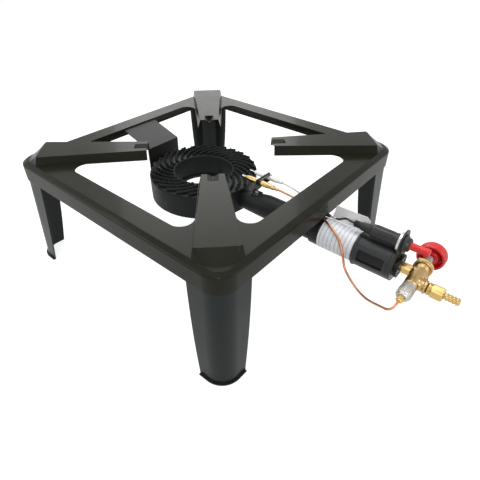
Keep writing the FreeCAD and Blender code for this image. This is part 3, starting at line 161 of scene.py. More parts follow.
def group_tree(name: str, inputs: dict[str, float], outputs: tuple[str, ...]) -> tuple[
        bpy.types.NodeTree, Wiring, bpy.types.Node, bpy.types.Node]:
    """Starts a shader group with a vector input, numbers and named outputs.

    Args:
        name: the group's name.
        inputs: each number input and its usual value.
        outputs: the names of the value outputs.

    Returns:
        The tree, its wiring helper, its input node and its output node.
    """
    tree = bpy.data.node_groups.new(name, "ShaderNodeTree")
    tree.interface.new_socket("Vector", in_out="INPUT", socket_type="NodeSocketVector")
    for key, value in inputs.items():
        socket = tree.interface.new_socket(key, in_out="INPUT", socket_type="NodeSocketFloat")
        socket.default_value = value
    for key in outputs:
        tree.interface.new_socket(key, in_out="OUTPUT", socket_type="NodeSocketFloat")
    wiring = Wiring(tree)
    return tree, wiring, wiring.add("NodeGroupInput"), wiring.add("NodeGroupOutput")


def build_handling_group() -> bpy.types.NodeTree:
    """Smudges, rubbed patches and settled dust on a smooth surface.

    Returns:
        A group that gives a roughness, a tone that multiplies the colour, and a dust mask.
    """
    tree, wiring, source, sink = group_tree(
        "handling", {"Scale": 18.0, "Smooth": 0.2, "Rough": 0.4, "Dust": 0.0}, ("Roughness", "Tone", "Dust"))
    broad = wiring.noise(source.outputs["Vector"], source.outputs["Scale"], 4.0, 0.6)
    fine_scale = wiring.maths("MULTIPLY", source.outputs["Scale"], 9.0)
    fine = wiring.noise(source.outputs["Vector"], fine_scale, 3.0, 0.55)
    mixed = wiring.maths("ADD", wiring.maths("MULTIPLY", broad, 0.7), wiring.maths("MULTIPLY", fine, 0.3))
    rough = wiring.spread(mixed, source.outputs["Smooth"], source.outputs["Rough"], 0.32, 0.68)
    wiring.join(rough, sink.inputs["Roughness"])
    wiring.join(wiring.spread(mixed, 0.88, 1.12, 0.3, 0.7), sink.inputs["Tone"])
    facing = wiring.add("ShaderNodeSeparateXYZ")
    wiring.join(wiring.add("ShaderNodeNewGeometry").outputs["Normal"], facing.inputs[0])
    upward = wiring.spread(facing.outputs["Z"], 0.0, 1.0, 0.35, 1.0)
    dusty = wiring.maths("MULTIPLY", upward, wiring.spread(mixed, 0.35, 1.0, 0.35, 0.6))
    wiring.join(wiring.maths("MULTIPLY", dusty, source.outputs["Dust"]), sink.inputs["Dust"])
    return tree


def build_grain_group() -> bpy.types.NodeTree:
    """Fine surface relief: paint peel, casting grain or moulding texture.

    Returns:
        A group that gives a height between 0 and 1 and a speckle mask.
    """
    tree, wiring, source, sink = group_tree(
        "grain", {"Scale": 900.0, "Coarse": 0.3, "Pits": 0.0}, ("Height", "Speckle"))
    fine = wiring.noise(source.outputs["Vector"], source.outputs["Scale"], 2.0, 0.5)
    coarse_scale = wiring.maths("MULTIPLY", source.outputs["Scale"], 0.22)
    coarse = wiring.noise(source.outputs["Vector"], coarse_scale, 3.0, 0.6)
    pits = wiring.add("ShaderNodeTexVoronoi", feature="F1")
    wiring.join(source.outputs["Vector"], pits.inputs["Vector"])
    wiring.join(wiring.maths("MULTIPLY", source.outputs["Scale"], 0.5), pits.inputs["Scale"])
    hollow = wiring.spread(pits.outputs["Distance"], 0.0, 1.0, 0.1, 0.45)
    share = wiring.maths("MULTIPLY", coarse, source.outputs["Coarse"])
    rest = wiring.maths("MULTIPLY", fine, wiring.maths("SUBTRACT", 1.0, source.outputs["Coarse"]))
    blend = wiring.maths("ADD", share, rest)
    depth = wiring.maths("MULTIPLY", wiring.maths("SUBTRACT", 1.0, hollow), source.outputs["Pits"])
    wiring.join(wiring.maths("SUBTRACT", blend, depth), sink.inputs["Height"])
    wiring.join(wiring.spread(fine, 0.0, 1.0, 0.62, 0.7), sink.inputs["Speckle"])
    return tree


def build_lathe_group() -> bpy.types.NodeTree:
    """Fine turning or brushing lines that run round a chosen axis.

    Returns:
        A group that gives a line height; Vector is already stretched along the lines.
    """
    tree, wiring, source, sink = group_tree("turning_lines", {"Scale": 700.0, "Depth": 1.0},
                                            ("Height", "Tone"))
    lines = wiring.noise(source.outputs["Vector"], source.outputs["Scale"], 2.0, 0.6)
    wiring.join(wiring.maths("MULTIPLY", lines, source.outputs["Depth"]), sink.inputs["Height"])
    wiring.join(wiring.spread(lines, 0.9, 1.1, 0.3, 0.7), sink.inputs["Tone"])
    return tree


def build_bands_group() -> bpy.types.NodeTree:
    """Plain ruled bands across a label, uneven where the print is worn.

    Returns:
        A group that gives a mask which is 1 in the bands.
    """
    tree, wiring, source, sink = group_tree("ruled_bands", {"Pitch": 0.0055, "Share": 0.3}, ("Mask",))
    place = wiring.add("ShaderNodeSeparateXYZ")
    wiring.join(source.outputs["Vector"], place.inputs[0])
    turns = wiring.maths("DIVIDE", place.outputs["X"], source.outputs["Pitch"])
    wave = wiring.maths("SINE", wiring.maths("MULTIPLY", turns, math.tau))
    edge = wiring.maths("SUBTRACT", 1.0, wiring.maths("MULTIPLY", source.outputs["Share"], 2.0))
    band = wiring.maths("MULTIPLY", wiring.maths("SUBTRACT", wave, edge), 6.0)
    clipped = wiring.maths("MINIMUM", wiring.maths("MAXIMUM", band, 0.0), 1.0)
    worn = wiring.spread(wiring.noise(source.outputs["Vector"], 420.0, 3.0, 0.6), 0.35, 1.0, 0.38, 0.55)
    wiring.join(wiring.maths("MULTIPLY", clipped, worn), sink.inputs["Mask"])
    return tree


HANDLING = build_handling_group()
GRAIN = build_grain_group()
TURNING = build_lathe_group()
BANDS = build_bands_group()


# ---------------------------------------------------------------- geometry trees

class PieceTree(Wiring):
    """A Geometry Nodes tree with named sizes, which ends in realised geometry with its material."""

    def __init__(self, name: str, **sizes: float | int | tuple[float, float, float]) -> None:
        """Args: name: the tree's name. sizes: each named input and its usual value."""
        tree = bpy.data.node_groups.new(name, "GeometryNodeTree")
        super().__init__(tree)
        tree.interface.new_socket("Geometry", in_out="OUTPUT", socket_type="NodeSocketGeometry")
        tree.interface.new_socket("Geometry", in_out="INPUT", socket_type="NodeSocketGeometry")
        tree.interface.new_socket("Material", in_out="INPUT", socket_type="NodeSocketMaterial")
        kinds = {int: "NodeSocketInt", float: "NodeSocketFloat", tuple: "NodeSocketVector"}
        for key, value in sizes.items():
            socket = tree.interface.new_socket(key, in_out="INPUT", socket_type=kinds[type(value)])
            socket.default_value = value
        self.source = self.add("NodeGroupInput")
        self.sink = self.add("NodeGroupOutput")

    def size(self, key: str) -> bpy.types.NodeSocket:
        """The named input's socket."""
        return self.source.outputs[key]

    def node(self, kind: str, inputs: dict[str, object], **settings: object) -> bpy.types.NodeSocket:
        """Adds a node, fills its inputs and returns its first output.

        Args:
            kind: the node's type name.
            inputs: a number, a vector or an output socket for each named input.
            settings: attributes to set on the node.

        Returns:
            The node's first output.
        """
        node = self.add(kind, **settings)
        for key, value in inputs.items():
            if isinstance(value, bpy.types.NodeSocket):
                self.join(value, node.inputs[key])
            else:
                node.inputs[key].default_value = value
        return node.outputs[0]

    def vector(self, x: object, y: object, z: object) -> bpy.types.NodeSocket:
        """Joins three numbers into a vector."""
        return self.node("ShaderNodeCombineXYZ", {"X": x, "Y": y, "Z": z})

    def placed(self, points: bpy.types.NodeSocket, copy: bpy.types.NodeSocket,
               rotation: bpy.types.NodeSocket | None = None) -> bpy.types.NodeSocket:
        """Puts a copy of the geometry on each point, turned if a rotation is given."""
        inputs = {"Points": points, "Instance": copy}
        if rotation is not None:
            inputs["Rotation"] = rotation
        return self.node("GeometryNodeInstanceOnPoints", inputs)

    def close(self, *geometries: bpy.types.NodeSocket) -> bpy.types.NodeTree:
        """Joins the geometries, realises them, gives them the material and ends the tree."""
        both = self.add("GeometryNodeJoinGeometry")
        for geometry in geometries:
            self.join(geometry, both.inputs[0])
        real = self.node("GeometryNodeRealizeInstances", {"Geometry": both.outputs[0]})
        dressed = self.node("GeometryNodeSetMaterial", {"Geometry": real, "Material": self.size("Material")})
        self.join(dressed, self.sink.inputs[0])
        return self.tree


def around_tree() -> bpy.types.NodeTree:
    """Copies of the geometry, evenly spaced about an axis through Centre."""
    tree = PieceTree("copies_around", Count=12, Centre=(0.0, 0.0, 0.0), Axis=(0.0, 0.0, 1.0), Start=0.0)
    points = tree.node("GeometryNodePoints", {"Count": tree.size("Count"), "Position": tree.size("Centre")})
    index = tree.add("GeometryNodeInputIndex").outputs[0]
    step = tree.maths("DIVIDE", math.tau, tree.size("Count"))
    angle = tree.maths("ADD", tree.maths("MULTIPLY", index, step), tree.size("Start"))
    turn = tree.node("FunctionNodeAxisAngleToRotation", {"Axis": tree.size("Axis"), "Angle": angle})
    return tree.close(tree.placed(points, tree.source.outputs["Geometry"], turn))


def along_tree() -> bpy.types.NodeTree:
    """Copies of the geometry in a straight row, one Step apart."""
    tree = PieceTree("copies_along", Count=3, Start=(0.0, 0.0, 0.0), Step=(0.001, 0.0, 0.0))
    index = tree.add("GeometryNodeInputIndex").outputs[0]
    moved = tree.node("ShaderNodeVectorMath", {"Vector": tree.size("Step"), "Scale": index},
                      operation="SCALE")
    place = tree.add("ShaderNodeVectorMath", operation="ADD")
    tree.join(moved, place.inputs[0])
    tree.join(tree.size("Start"), place.inputs[1])
    points = tree.node("GeometryNodePoints", {"Count": tree.size("Count"), "Position": place.outputs[0]})
    return tree.close(tree.placed(points, tree.source.outputs["Geometry"]))


def coil_tree() -> bpy.types.NodeTree:
    """A round-wire coil from Start, along its own Z until Turn lays it down."""
    tree = PieceTree("coil", Turns=8.0, Radius=0.004, Wire=0.0005, Length=0.02, Start=(0.0, 0.0, 0.0),
                     Turn=(0.0, 0.0, 0.0), Stations=18)
    spiral = tree.node("GeometryNodeCurveSpiral", {
        "Resolution": tree.size("Stations"), "Rotations": tree.size("Turns"),
        "Start Radius": tree.size("Radius"),
        "End Radius": tree.size("Radius"), "Height": tree.size("Length")})
    wire = tree.node("GeometryNodeCurvePrimitiveCircle", {"Resolution": 8, "Radius": tree.size("Wire")})
    coil = tree.node("GeometryNodeCurveToMesh", {"Curve": spiral, "Profile Curve": wire, "Fill Caps": True})
    laid = tree.node("GeometryNodeTransform", {
        "Geometry": coil, "Translation": tree.size("Start"), "Rotation": tree.size("Turn")})
    return tree.close(laid)


def ported_cap_tree() -> bpy.types.NodeTree:
    """The ring's spiral ribs, with rows of port bosses between them; the geometry is one boss."""
    tree = PieceTree("spiral_ribs", Ribs=28, Stations=12, Inner=0.047, Outer=0.082, Sweep=0.66, Width=0.005,
                     Height=0.006, Base=0.13, Centre=(0.0, 0.0, 0.0), Rows=5, First=0.055, Last=0.077,
                     Floor=0.13, Lane=0.5)

    def swept(share: bpy.types.NodeSocket) -> bpy.types.NodeSocket:
        """The angle that a rib has turned through at a share of its way out."""
        return tree.maths("MULTIPLY", tree.maths("POWER", share, 1.2),
                          tree.maths("MULTIPLY", tree.size("Sweep"), -1.0))

    def between(first: str, last: str, share: bpy.types.NodeSocket) -> bpy.types.NodeSocket:
        """The radius at a share of the way between two named radii."""
        gap = tree.maths("SUBTRACT", tree.size(last), tree.size(first))
        return tree.maths("ADD", tree.size(first), tree.maths("MULTIPLY", gap, share))

    def polar(radius: bpy.types.NodeSocket, angle: bpy.types.NodeSocket,
              level: object) -> bpy.types.NodeSocket:
        """A place at a radius, an angle and a height."""
        return tree.vector(tree.maths("MULTIPLY", radius, tree.maths("COSINE", angle)),
                           tree.maths("MULTIPLY", radius, tree.maths("SINE", angle)), level)

    line = tree.node("GeometryNodeCurvePrimitiveLine", {"End": (1.0, 0.0, 0.0)})
    even = tree.node("GeometryNodeResampleCurve", {"Curve": line, "Count": tree.size("Stations")})
    share = tree.add("GeometryNodeSplineParameter").outputs["Factor"]
    path = tree.node("GeometryNodeSetPosition", {
        "Geometry": even,
        "Position": polar(between("Inner", "Outer", share), swept(share), tree.size("Base"))})
    upright = tree.node("GeometryNodeSetCurveNormal", {"Curve": path}, mode="Z_UP")
    section = tree.node("GeometryNodeCurvePrimitiveCircle", {"Resolution": 12, "Radius": 1.0})
    half_width = tree.maths("MULTIPLY", tree.size("Width"), 0.5)
    half_height = tree.maths("MULTIPLY", tree.size("Height"), 0.5)
    oval = tree.node("GeometryNodeTransform",
                     {"Geometry": section, "Scale": tree.vector(half_width, half_height, 1.0)})
    rib = tree.node("GeometryNodeCurveToMesh", {"Curve": upright, "Profile Curve": oval, "Fill Caps": True})
    index = tree.add("GeometryNodeInputIndex").outputs[0]
    step = tree.maths("DIVIDE", math.tau, tree.size("Ribs"))
    turn = tree.node("FunctionNodeAxisAngleToRotation", {
        "Axis": (0.0, 0.0, 1.0), "Angle": tree.maths("MULTIPLY", index, step)})
    centres = tree.node("GeometryNodePoints", {"Count": tree.size("Ribs"), "Position": tree.size("Centre")})
    ribs = tree.placed(centres, rib, turn)
    row = tree.maths("FLOORED_MODULO", index, tree.size("Rows"))
    lane = tree.maths("FLOOR", tree.maths("DIVIDE", index, tree.size("Rows")))
    way = tree.maths("DIVIDE", row, tree.maths("SUBTRACT", tree.size("Rows"), 1.0))
    outward = tree.maths("ADD", tree.maths("MULTIPLY", way, 0.72), 0.16)
    angle = tree.maths("ADD", swept(outward),
                       tree.maths("MULTIPLY", tree.maths("ADD", lane, tree.size("Lane")), step))
    offset = tree.add("ShaderNodeVectorMath", operation="ADD")
    tree.join(polar(between("First", "Last", way), angle, tree.size("Floor")), offset.inputs[0])
    tree.join(tree.size("Centre"), offset.inputs[1])
    count = tree.maths("MULTIPLY", tree.size("Ribs"), tree.size("Rows"))
    ports = tree.node("GeometryNodePoints", {"Count": count, "Position": offset.outputs[0]})
    return tree.close(ribs, tree.placed(ports, tree.source.outputs["Geometry"]))


AROUND = around_tree()
ALONG = along_tree()
COIL = coil_tree()
SPIRAL_RIBS = ported_cap_tree()


# ---------------------------------------------------------------- finishes

class Along(Enum):
    """Which way a turned piece's axis points."""

    X = (0.02, 1.0, 1.0)
    Y = (1.0, 0.02, 1.0)
    NONE = (1.0, 1.0, 1.0)


@dataclass(frozen=True)
class Finish:
    """One finish and the numbers that make it."""

    name: str
    colour: tuple[float, float, float]
    metallic: float = 0.0
    smooth: float = 0.2
    rough: float = 0.4
    smudge_scale: float = 18.0
    grain_scale: float = 900.0
    coarse: float = 0.3
    pits: float = 0.0
    bump: float = 0.05
    bump_depth: float = 0.0004
    dust: float = 0.0
    dust_colour: tuple[float, float, float] = (0.35, 0.34, 0.32)
    coat: float = 0.0
    second: tuple[float, float, float] | None = None
    second_share: float = 0.5
    lines: Along = Along.NONE
    specular: float = 0.5
    coat_rough: float = 0.08
    bands: float = 0.0

    def build(self) -> bpy.types.Material:
        """Makes the finish's material.

        Returns:
            The material, with colour, roughness and relief that change over the surface.
        """
        found = bpy.data.materials.get(self.name)
        if found:
            return found
        material = bpy.data.materials.new(self.name)
        material.use_nodes = True
        wiring = Wiring(material.node_tree)
        shader = material.node_tree.nodes["Principled BSDF"]
        shader.inputs["Metallic"].default_value = self.metallic
        shader.inputs["Specular IOR Level"].default_value = self.specular
        shader.inputs["Coat Weight"].default_value = self.coat
        shader.inputs["Coat Roughness"].default_value = self.coat_rough
        place = wiring.add("ShaderNodeTexCoord").outputs["Object"]
        handling = self.group(wiring, HANDLING, place, Scale=self.smudge_scale, Smooth=self.smooth,
                              Rough=self.rough, Dust=self.dust)
        grain = self.group(wiring, GRAIN, place, Scale=self.grain_scale, Coarse=self.coarse, Pits=self.pits)
        wiring.join(handling.outputs["Roughness"], shader.inputs["Roughness"])
        wiring.join(self.tint(wiring, place, handling), shader.inputs["Base Color"])
        height = grain.outputs["Height"]
        if self.lines is not Along.NONE:
            stretch = wiring.add("ShaderNodeMapping")
            scale = [1.0 if part == 0.02 else 0.02 for part in self.lines.value]
            stretch.inputs["Scale"].default_value = scale
            wiring.join(place, stretch.inputs["Vector"])
            lines = self.group(wiring, TURNING, stretch.outputs[0], Scale=2600.0, Depth=1.0)
            height = wiring.maths("ADD", height, lines.outputs["Height"])
        bump = wiring.add("ShaderNodeBump")
        bump.inputs["Strength"].default_value = self.bump
        bump.inputs["Distance"].default_value = self.bump_depth
        wiring.join(height, bump.inputs["Height"])
        wiring.join(bump.outputs["Normal"], shader.inputs["Normal"])
        return material

    @staticmethod
    def group(wiring: Wiring, tree: bpy.types.NodeTree, place: bpy.types.NodeSocket,
              **values: float) -> bpy.types.Node:
        """Places a shared group in the material with its own values.

        Args:
            wiring: The material's wiring.
            tree: The shared group.
            place: The coordinates that the group reads.
            values: The group's own inputs, by name.

        Returns:
            The node that holds the group.
        """
        node = wiring.add("ShaderNodeGroup", node_tree=tree)
        wiring.join(place, node.inputs["Vector"])
        for key, value in values.items():
            node.inputs[key].default_value = value
        return node

    def tint(self, wiring: Wiring, place: bpy.types.NodeSocket,
             handling: bpy.types.Node) -> bpy.types.NodeSocket:
        """Mixes the colour, its second tone and the dust.

        Args:
            wiring: the material's wiring helper.
            place: object coordinates.
            handling: the handling group's node.

        Returns:
            The colour output.
        """
        first = wiring.add("ShaderNodeMix", data_type="RGBA")
        second = self.second or tuple(part * 0.8 for part in self.colour)
        first.inputs["A"].default_value = (*self.colour, 1.0)
        first.inputs["B"].default_value = (*second, 1.0)
        patches = wiring.noise(place, self.smudge_scale * 1.7, 4.0, 0.6)
        share = wiring.spread(patches, 0.0, self.second_share, 0.4, 0.65)
        if self.bands:
            ruled = self.group(wiring, BANDS, place, Pitch=self.bands)
            share = wiring.maths("MAXIMUM", share, ruled.outputs["Mask"])
        wiring.join(share, first.inputs["Factor"])
        toned = wiring.add("ShaderNodeMix", data_type="RGBA", blend_type="MULTIPLY")
        toned.inputs["Factor"].default_value = 1.0
        wiring.join(first.outputs["Result"], toned.inputs["A"])
        grey = wiring.add("ShaderNodeCombineColor")
        for channel in range(3):
            wiring.join(handling.outputs["Tone"], grey.inputs[channel])
        wiring.join(grey.outputs[0], toned.inputs["B"])
        dusty = wiring.add("ShaderNodeMix", data_type="RGBA")
        wiring.join(toned.outputs["Result"], dusty.inputs["A"])
        dusty.inputs["B"].default_value = (*self.dust_colour, 1.0)
        wiring.join(handling.outputs["Dust"], dusty.inputs["Factor"])
        return dusty.outputs["Result"]


ENAMEL = Finish("black_enamel", (0.0140, 0.0145, 0.0088), smooth=0.22, rough=0.36, smudge_scale=9.0,
                grain_scale=260.0, coarse=0.6, bump=0.05, bump_depth=0.0004, dust=0.008, specular=0.06,
                coat=0.11, coat_rough=0.09)
LEG_ENAMEL = Finish("leg_enamel", (0.0085, 0.0125, 0.0122), smooth=0.28, rough=0.44, smudge_scale=9.0,
                    grain_scale=260.0, coarse=0.6, bump=0.06, bump_depth=0.0004, dust=0.006, specular=0.12,
                    coat=0.13, coat_rough=0.12)
STRAP_PAINT = Finish("strap_paint", (0.012, 0.012, 0.011), smooth=0.34, rough=0.5, grain_scale=420.0,
                     bump=0.12, bump_depth=0.0004, specular=0.3)
BLACK_PLATE = Finish("black_plated_steel", (0.014, 0.014, 0.015), smooth=0.3, rough=0.45, grain_scale=700.0,
                     bump=0.1, bump_depth=0.0003, specular=0.4)
CAST_IRON = Finish("black_cast_iron", (0.0085, 0.0105, 0.0105), smooth=0.38, rough=0.56, smudge_scale=26.0,
                   grain_scale=620.0, coarse=0.55, pits=0.35, bump=0.34, bump_depth=0.0008,
                   second=(0.013, 0.015, 0.015), dust=0.008, specular=0.13)
TUBE_PAINT = Finish("tube_paint", (0.012, 0.013, 0.013), smooth=0.3, rough=0.46, smudge_scale=26.0,
                    grain_scale=500.0, bump=0.14, bump_depth=0.0004, specular=0.17)
ZINC = Finish("bright_zinc", (0.58, 0.58, 0.56), metallic=1.0, smooth=0.24, rough=0.42, smudge_scale=60.0,
              bump=0.06, second=(0.46, 0.45, 0.42))
STEEL = Finish("plain_steel", (0.50, 0.50, 0.50), metallic=1.0, smooth=0.24, rough=0.42, lines=Along.X,
               bump=0.05)
RULED_LABEL = Finish("ruled_label", (0.90, 0.91, 0.94), smooth=0.26, rough=0.4, smudge_scale=30.0,
                     grain_scale=1500.0, bump=0.03, second=(0.55, 0.60, 0.66), second_share=0.15,
                     bands=0.0055)
WHITE_FILM = Finish("white_film", (0.93, 0.93, 0.92), smooth=0.4, rough=0.55, smudge_scale=40.0,
                    grain_scale=1600.0, bump=0.04, second=(0.86, 0.86, 0.85))
SHUTTER_PAINT = Finish("shutter_paint", (0.014, 0.015, 0.016), smooth=0.36, rough=0.52, smudge_scale=34.0,
                       grain_scale=950.0, bump=0.12, bump_depth=0.0003, dust=0.02, specular=0.36)
BRASS = Finish("turned_brass", (0.50, 0.36, 0.145), metallic=1.0, smooth=0.22, rough=0.42, smudge_scale=70.0,
               lines=Along.X, bump=0.06, bump_depth=0.0002, second=(0.48, 0.32, 0.12))
FORGED_BRASS = Finish("forged_brass", (0.44, 0.305, 0.135), metallic=1.0, smooth=0.26, rough=0.46,
                      smudge_scale=60.0,
                      grain_scale=1500.0, bump=0.2, bump_depth=0.0003, second=(0.38, 0.26, 0.115))
BRASS_Y = Finish("turned_brass_across", (0.64, 0.46, 0.18), metallic=1.0, smooth=0.2, rough=0.38,
                 smudge_scale=70.0, lines=Along.Y, bump=0.06, bump_depth=0.0002, second=(0.44, 0.28, 0.10))
BRASS_PINK = Finish("pink_brass", (0.55, 0.33, 0.17), metallic=1.0, smooth=0.22, rough=0.42,
                    smudge_scale=70.0,
                    lines=Along.X, bump=0.05, second=(0.42, 0.24, 0.12))
COPPER = Finish("drawn_copper", (0.50, 0.23, 0.12), metallic=1.0, smooth=0.26, rough=0.44, smudge_scale=70.0,
                bump=0.05, second=(0.32, 0.13, 0.07))
ALUMINIUM = Finish("turned_aluminium", (0.44, 0.42, 0.375), metallic=1.0, smooth=0.38, rough=0.55,
                   smudge_scale=60.0, lines=Along.Y, bump=0.07, bump_depth=0.0002, second=(0.48, 0.49, 0.52))
SPRING_STEEL = Finish("spring_steel", (0.42, 0.42, 0.43), metallic=1.0, smooth=0.25, rough=0.4, bump=0.04)
RED = Finish("red_moulding", (0.74, 0.018, 0.016), smooth=0.26, rough=0.4, smudge_scale=40.0,
             grain_scale=1200.0, bump=0.05, bump_depth=0.0002, second=(0.50, 0.012, 0.012))
BLACK_MOULDING = Finish("black_moulding", (0.010, 0.011, 0.011), smooth=0.34, rough=0.5, smudge_scale=45.0,
                        grain_scale=1100.0, bump=0.1, bump_depth=0.0003, dust=0.02, specular=0.4)
RUBBER = Finish("black_rubber", (0.012, 0.013, 0.013), smooth=0.5, rough=0.68, smudge_scale=45.0,
                grain_scale=900.0, bump=0.14, bump_depth=0.0003, dust=0.03, specular=0.35)
CERAMIC = Finish("white_ceramic", (0.94, 0.93, 0.91), smooth=0.15, rough=0.3, smudge_scale=45.0,
                 grain_scale=1100.0, bump=0.04, second=(0.90, 0.89, 0.87))
WHITE_SLEEVE = Finish("white_sleeve", (0.92, 0.92, 0.90), smooth=0.4, rough=0.55, smudge_scale=80.0,
                      bump=0.06)
BLACK_SLEEVE = Finish("black_sleeve", (0.012, 0.012, 0.013), smooth=0.4, rough=0.55, smudge_scale=80.0,
                      bump=0.06, specular=0.4)


# ---------------------------------------------------------------- mesh helpers

class Axis(Enum):
    """The way a turned piece's axis points."""

    X = 0
    Y = 1
    Z = 2

    def place(self, along: float, across: float, angle: float) -> Vector:
        """A point at a distance along the axis, and across it at an angle."""
        point = Vector((0.0, 0.0, 0.0))
        point[self.value] = along
        point[(self.value + 1) % 3] = across * math.cos(angle)
        point[(self.value + 2) % 3] = across * math.sin(angle)
        return point

    @property
    def unit(self) -> Vector:
        """The axis as a unit vector."""
        return self.place(1.0, 0.0, 0.0)


@dataclass(frozen=True)
class Seat:
    """Where a CAD node lies: its lowest and highest corners, in millimetres."""

    low: Vector
    high: Vector

    @classmethod
    def of(cls, node: str) -> "Seat":
        """The seat of a named CAD node."""
        low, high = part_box(node)
        return cls(Vector(low) / MM, Vector(high) / MM)

    @property
    def middle(self) -> Vector:
        """The centre of the node's box."""
        return (self.low + self.high) / 2

    @property
    def span(self) -> Vector:
        """The lengths of the node's box."""
        return self.high - self.low

    def root(self, axis: Axis) -> Vector:
        """The centre of the box's low face across an axis."""
        point = self.middle
        point[axis.value] = self.low[axis.value]
        return point


def finish_piece(piece: bpy.types.Object, finish: Finish, body: str, *nodes: str) -> bpy.types.Object:
    """Gives a piece its material and its body, and lets it stand for its CAD nodes.

    Args:
        piece: the new object, in place.
        finish: its finish.
        body: the CAD body it rides on.
        nodes: the CAD nodes that it replaces.

    Returns:
        The same object.
    """
    piece.data.materials.clear()
    piece.data.materials.append(finish.build())
    if nodes:
        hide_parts(*nodes)
    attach(piece, body)
    LOG.info("%s: %d faces on %s", piece.name, len(piece.data.polygons), body)
    return piece


def new_object(name: str, mesh: bpy.types.Mesh) -> bpy.types.Object:
    """Puts a mesh in the scene as a new object."""
    piece = bpy.data.objects.new(name, mesh)
    bpy.context.scene.collection.objects.link(piece)
    return piece


def smooth_by_angle(mesh: bpy.types.Mesh, degrees: float) -> None:
    """Shades a mesh smooth, with edges sharper than the angle kept sharp."""
    mesh.shade_smooth()
    mesh.set_sharp_from_angle(angle=math.radians(degrees))


def apply_modifiers(piece: bpy.types.Object) -> None:
    """Turns a piece's modifiers into plain mesh."""
    bpy.context.view_layer.update()
    evaluated = piece.evaluated_get(bpy.context.evaluated_depsgraph_get())
    mesh = bpy.data.meshes.new_from_object(evaluated)
    piece.modifiers.clear()
    piece.data = mesh


def bevelled(piece: bpy.types.Object, width: float, segments: int = 2, angle: float = 30.0) -> None:
    """Rounds a piece's hard edges.

    Args:
        piece: the object.
        width: the bevel's width in millimetres.
        segments: how many faces the rounding has.
        angle: edges that turn more than this are rounded.
    """
    modifier = piece.modifiers.new("edges", "BEVEL")
    modifier.width = width * MM
    modifier.segments = segments
    modifier.limit_method = "ANGLE"
    modifier.angle_limit = math.radians(angle)
    modifier.harden_normals = True
    modifier.use_clamp_overlap = True
    apply_modifiers(piece)


def even_normals(piece: bpy.types.Object) -> None:
    """Lets a piece's broad faces set the shading, so that its roundings blend into them."""
    modifier = piece.modifiers.new("shading", "WEIGHTED_NORMAL")
    modifier.weight = 90
    modifier.keep_sharp = True
    apply_modifiers(piece)


def forged(piece: bpy.types.Object, grain: float, rounds: int) -> None:
    """Melts a piece's joins together, as a casting's or a forging's are.

    Args:
        piece: the object.
        grain: the size of the new mesh's faces in millimetres.
        rounds: how many times the mesh is smoothed.
    """
    remesh = piece.modifiers.new("skin", "REMESH")
    remesh.mode = "VOXEL"
    remesh.voxel_size = grain * MM
    melt = piece.modifiers.new("melt", "SMOOTH")
    melt.factor = 0.5
    melt.iterations = rounds
    apply_modifiers(piece)
    piece.data.shade_smooth()


def merged_copy(node: str, dissolve: float = 0.6) -> bpy.types.Object:
    """Copies a CAD node as one joined mesh.

    Args:
        node: the CAD node's name.
        dissolve: flat faces within this angle are joined.

    Returns:
        The new object, in place, without a material.
    """
    mesh = frame["nodes"][node].data.copy()
    work = bmesh.new()
    work.from_mesh(mesh)
    bmesh.ops.remove_doubles(work, verts=work.verts, dist=0.00002)
    if dissolve:
        bmesh.ops.dissolve_limit(work, angle_limit=math.radians(dissolve), verts=work.verts, edges=work.edges)
    work.to_mesh(mesh)
    work.free()
    return new_object(node + "_dressed", mesh)


def dress(node: str, finish: Finish, bevel: float = 0.0, segments: int = 2, angle: float = 30.0,
          smooth: float = 32.0) -> bpy.types.Object:
    """Makes a smooth, edge-rounded copy of a CAD node that stands for it.

    Args:
        node: the CAD node's name.
        finish: its finish.
        bevel: the edge rounding in millimetres; 0 for none.
        segments: faces in the rounding.
        angle: which edges are rounded.
        smooth: edges flatter than this are shaded smooth.

    Returns:
        The new object.
    """
    piece = merged_copy(node)
    smooth_by_angle(piece.data, smooth)
    if bevel:
        bevelled(piece, bevel, segments, angle)
    return finish_piece(piece, finish, BODY_OF[node], node)


def lathe(name: str, origin: Vector, axis: Axis, stations: list[tuple[float, ...]], sides: int = 48,
          smooth: float = 28.0) -> bpy.types.Object:
    """Turns an outline about an axis, with hexagonal stretches where a station has flats.

    Args:
        name: the new object's name.
        origin: the point that the stations are measured from, in millimetres.
        axis: the axis.
        stations: (along, radius) or (along, radius, half the size across flats), in order;
            the outline closes on itself when its first and last stations have a radius.
        sides: points in each loop, a multiple of six.
        smooth: edges flatter than this are shaded smooth.

    Returns:
        The new object.
    """
    mesh = bpy.data.meshes.new(name)
    work = bmesh.new()
    loops = []
    for along, radius, *flats in stations:
        if radius == 0:
            loops.append([work.verts.new((origin + axis.place(along, 0.0, 0.0)) * MM)])
            continue
        loop = []
        for side in range(sides):
            angle = math.tau * side / sides
            reach = radius
            if flats:
                slant = (angle + math.pi / 6) % (math.pi / 3) - math.pi / 6
                reach = min(radius, flats[0] / math.cos(slant))
            loop.append(work.verts.new((origin + axis.place(along, reach, angle)) * MM))
        loops.append(loop)
    pairs = list(zip(loops, loops[1:]))
    if len(loops[0]) > 1 and len(loops[-1]) > 1:
        pairs.append((loops[-1], loops[0]))
    for first, second in pairs:
        for side in range(sides):
            after = (side + 1) % sides
            corners = [first[side % len(first)], first[after % len(first)],
                       second[after % len(second)], second[side % len(second)]]
            work.faces.new(list(dict.fromkeys(corners)))
    bmesh.ops.recalc_face_normals(work, faces=work.faces)
    work.to_mesh(mesh)
    work.free()
    smooth_by_angle(mesh, smooth)
    return new_object(name, mesh)


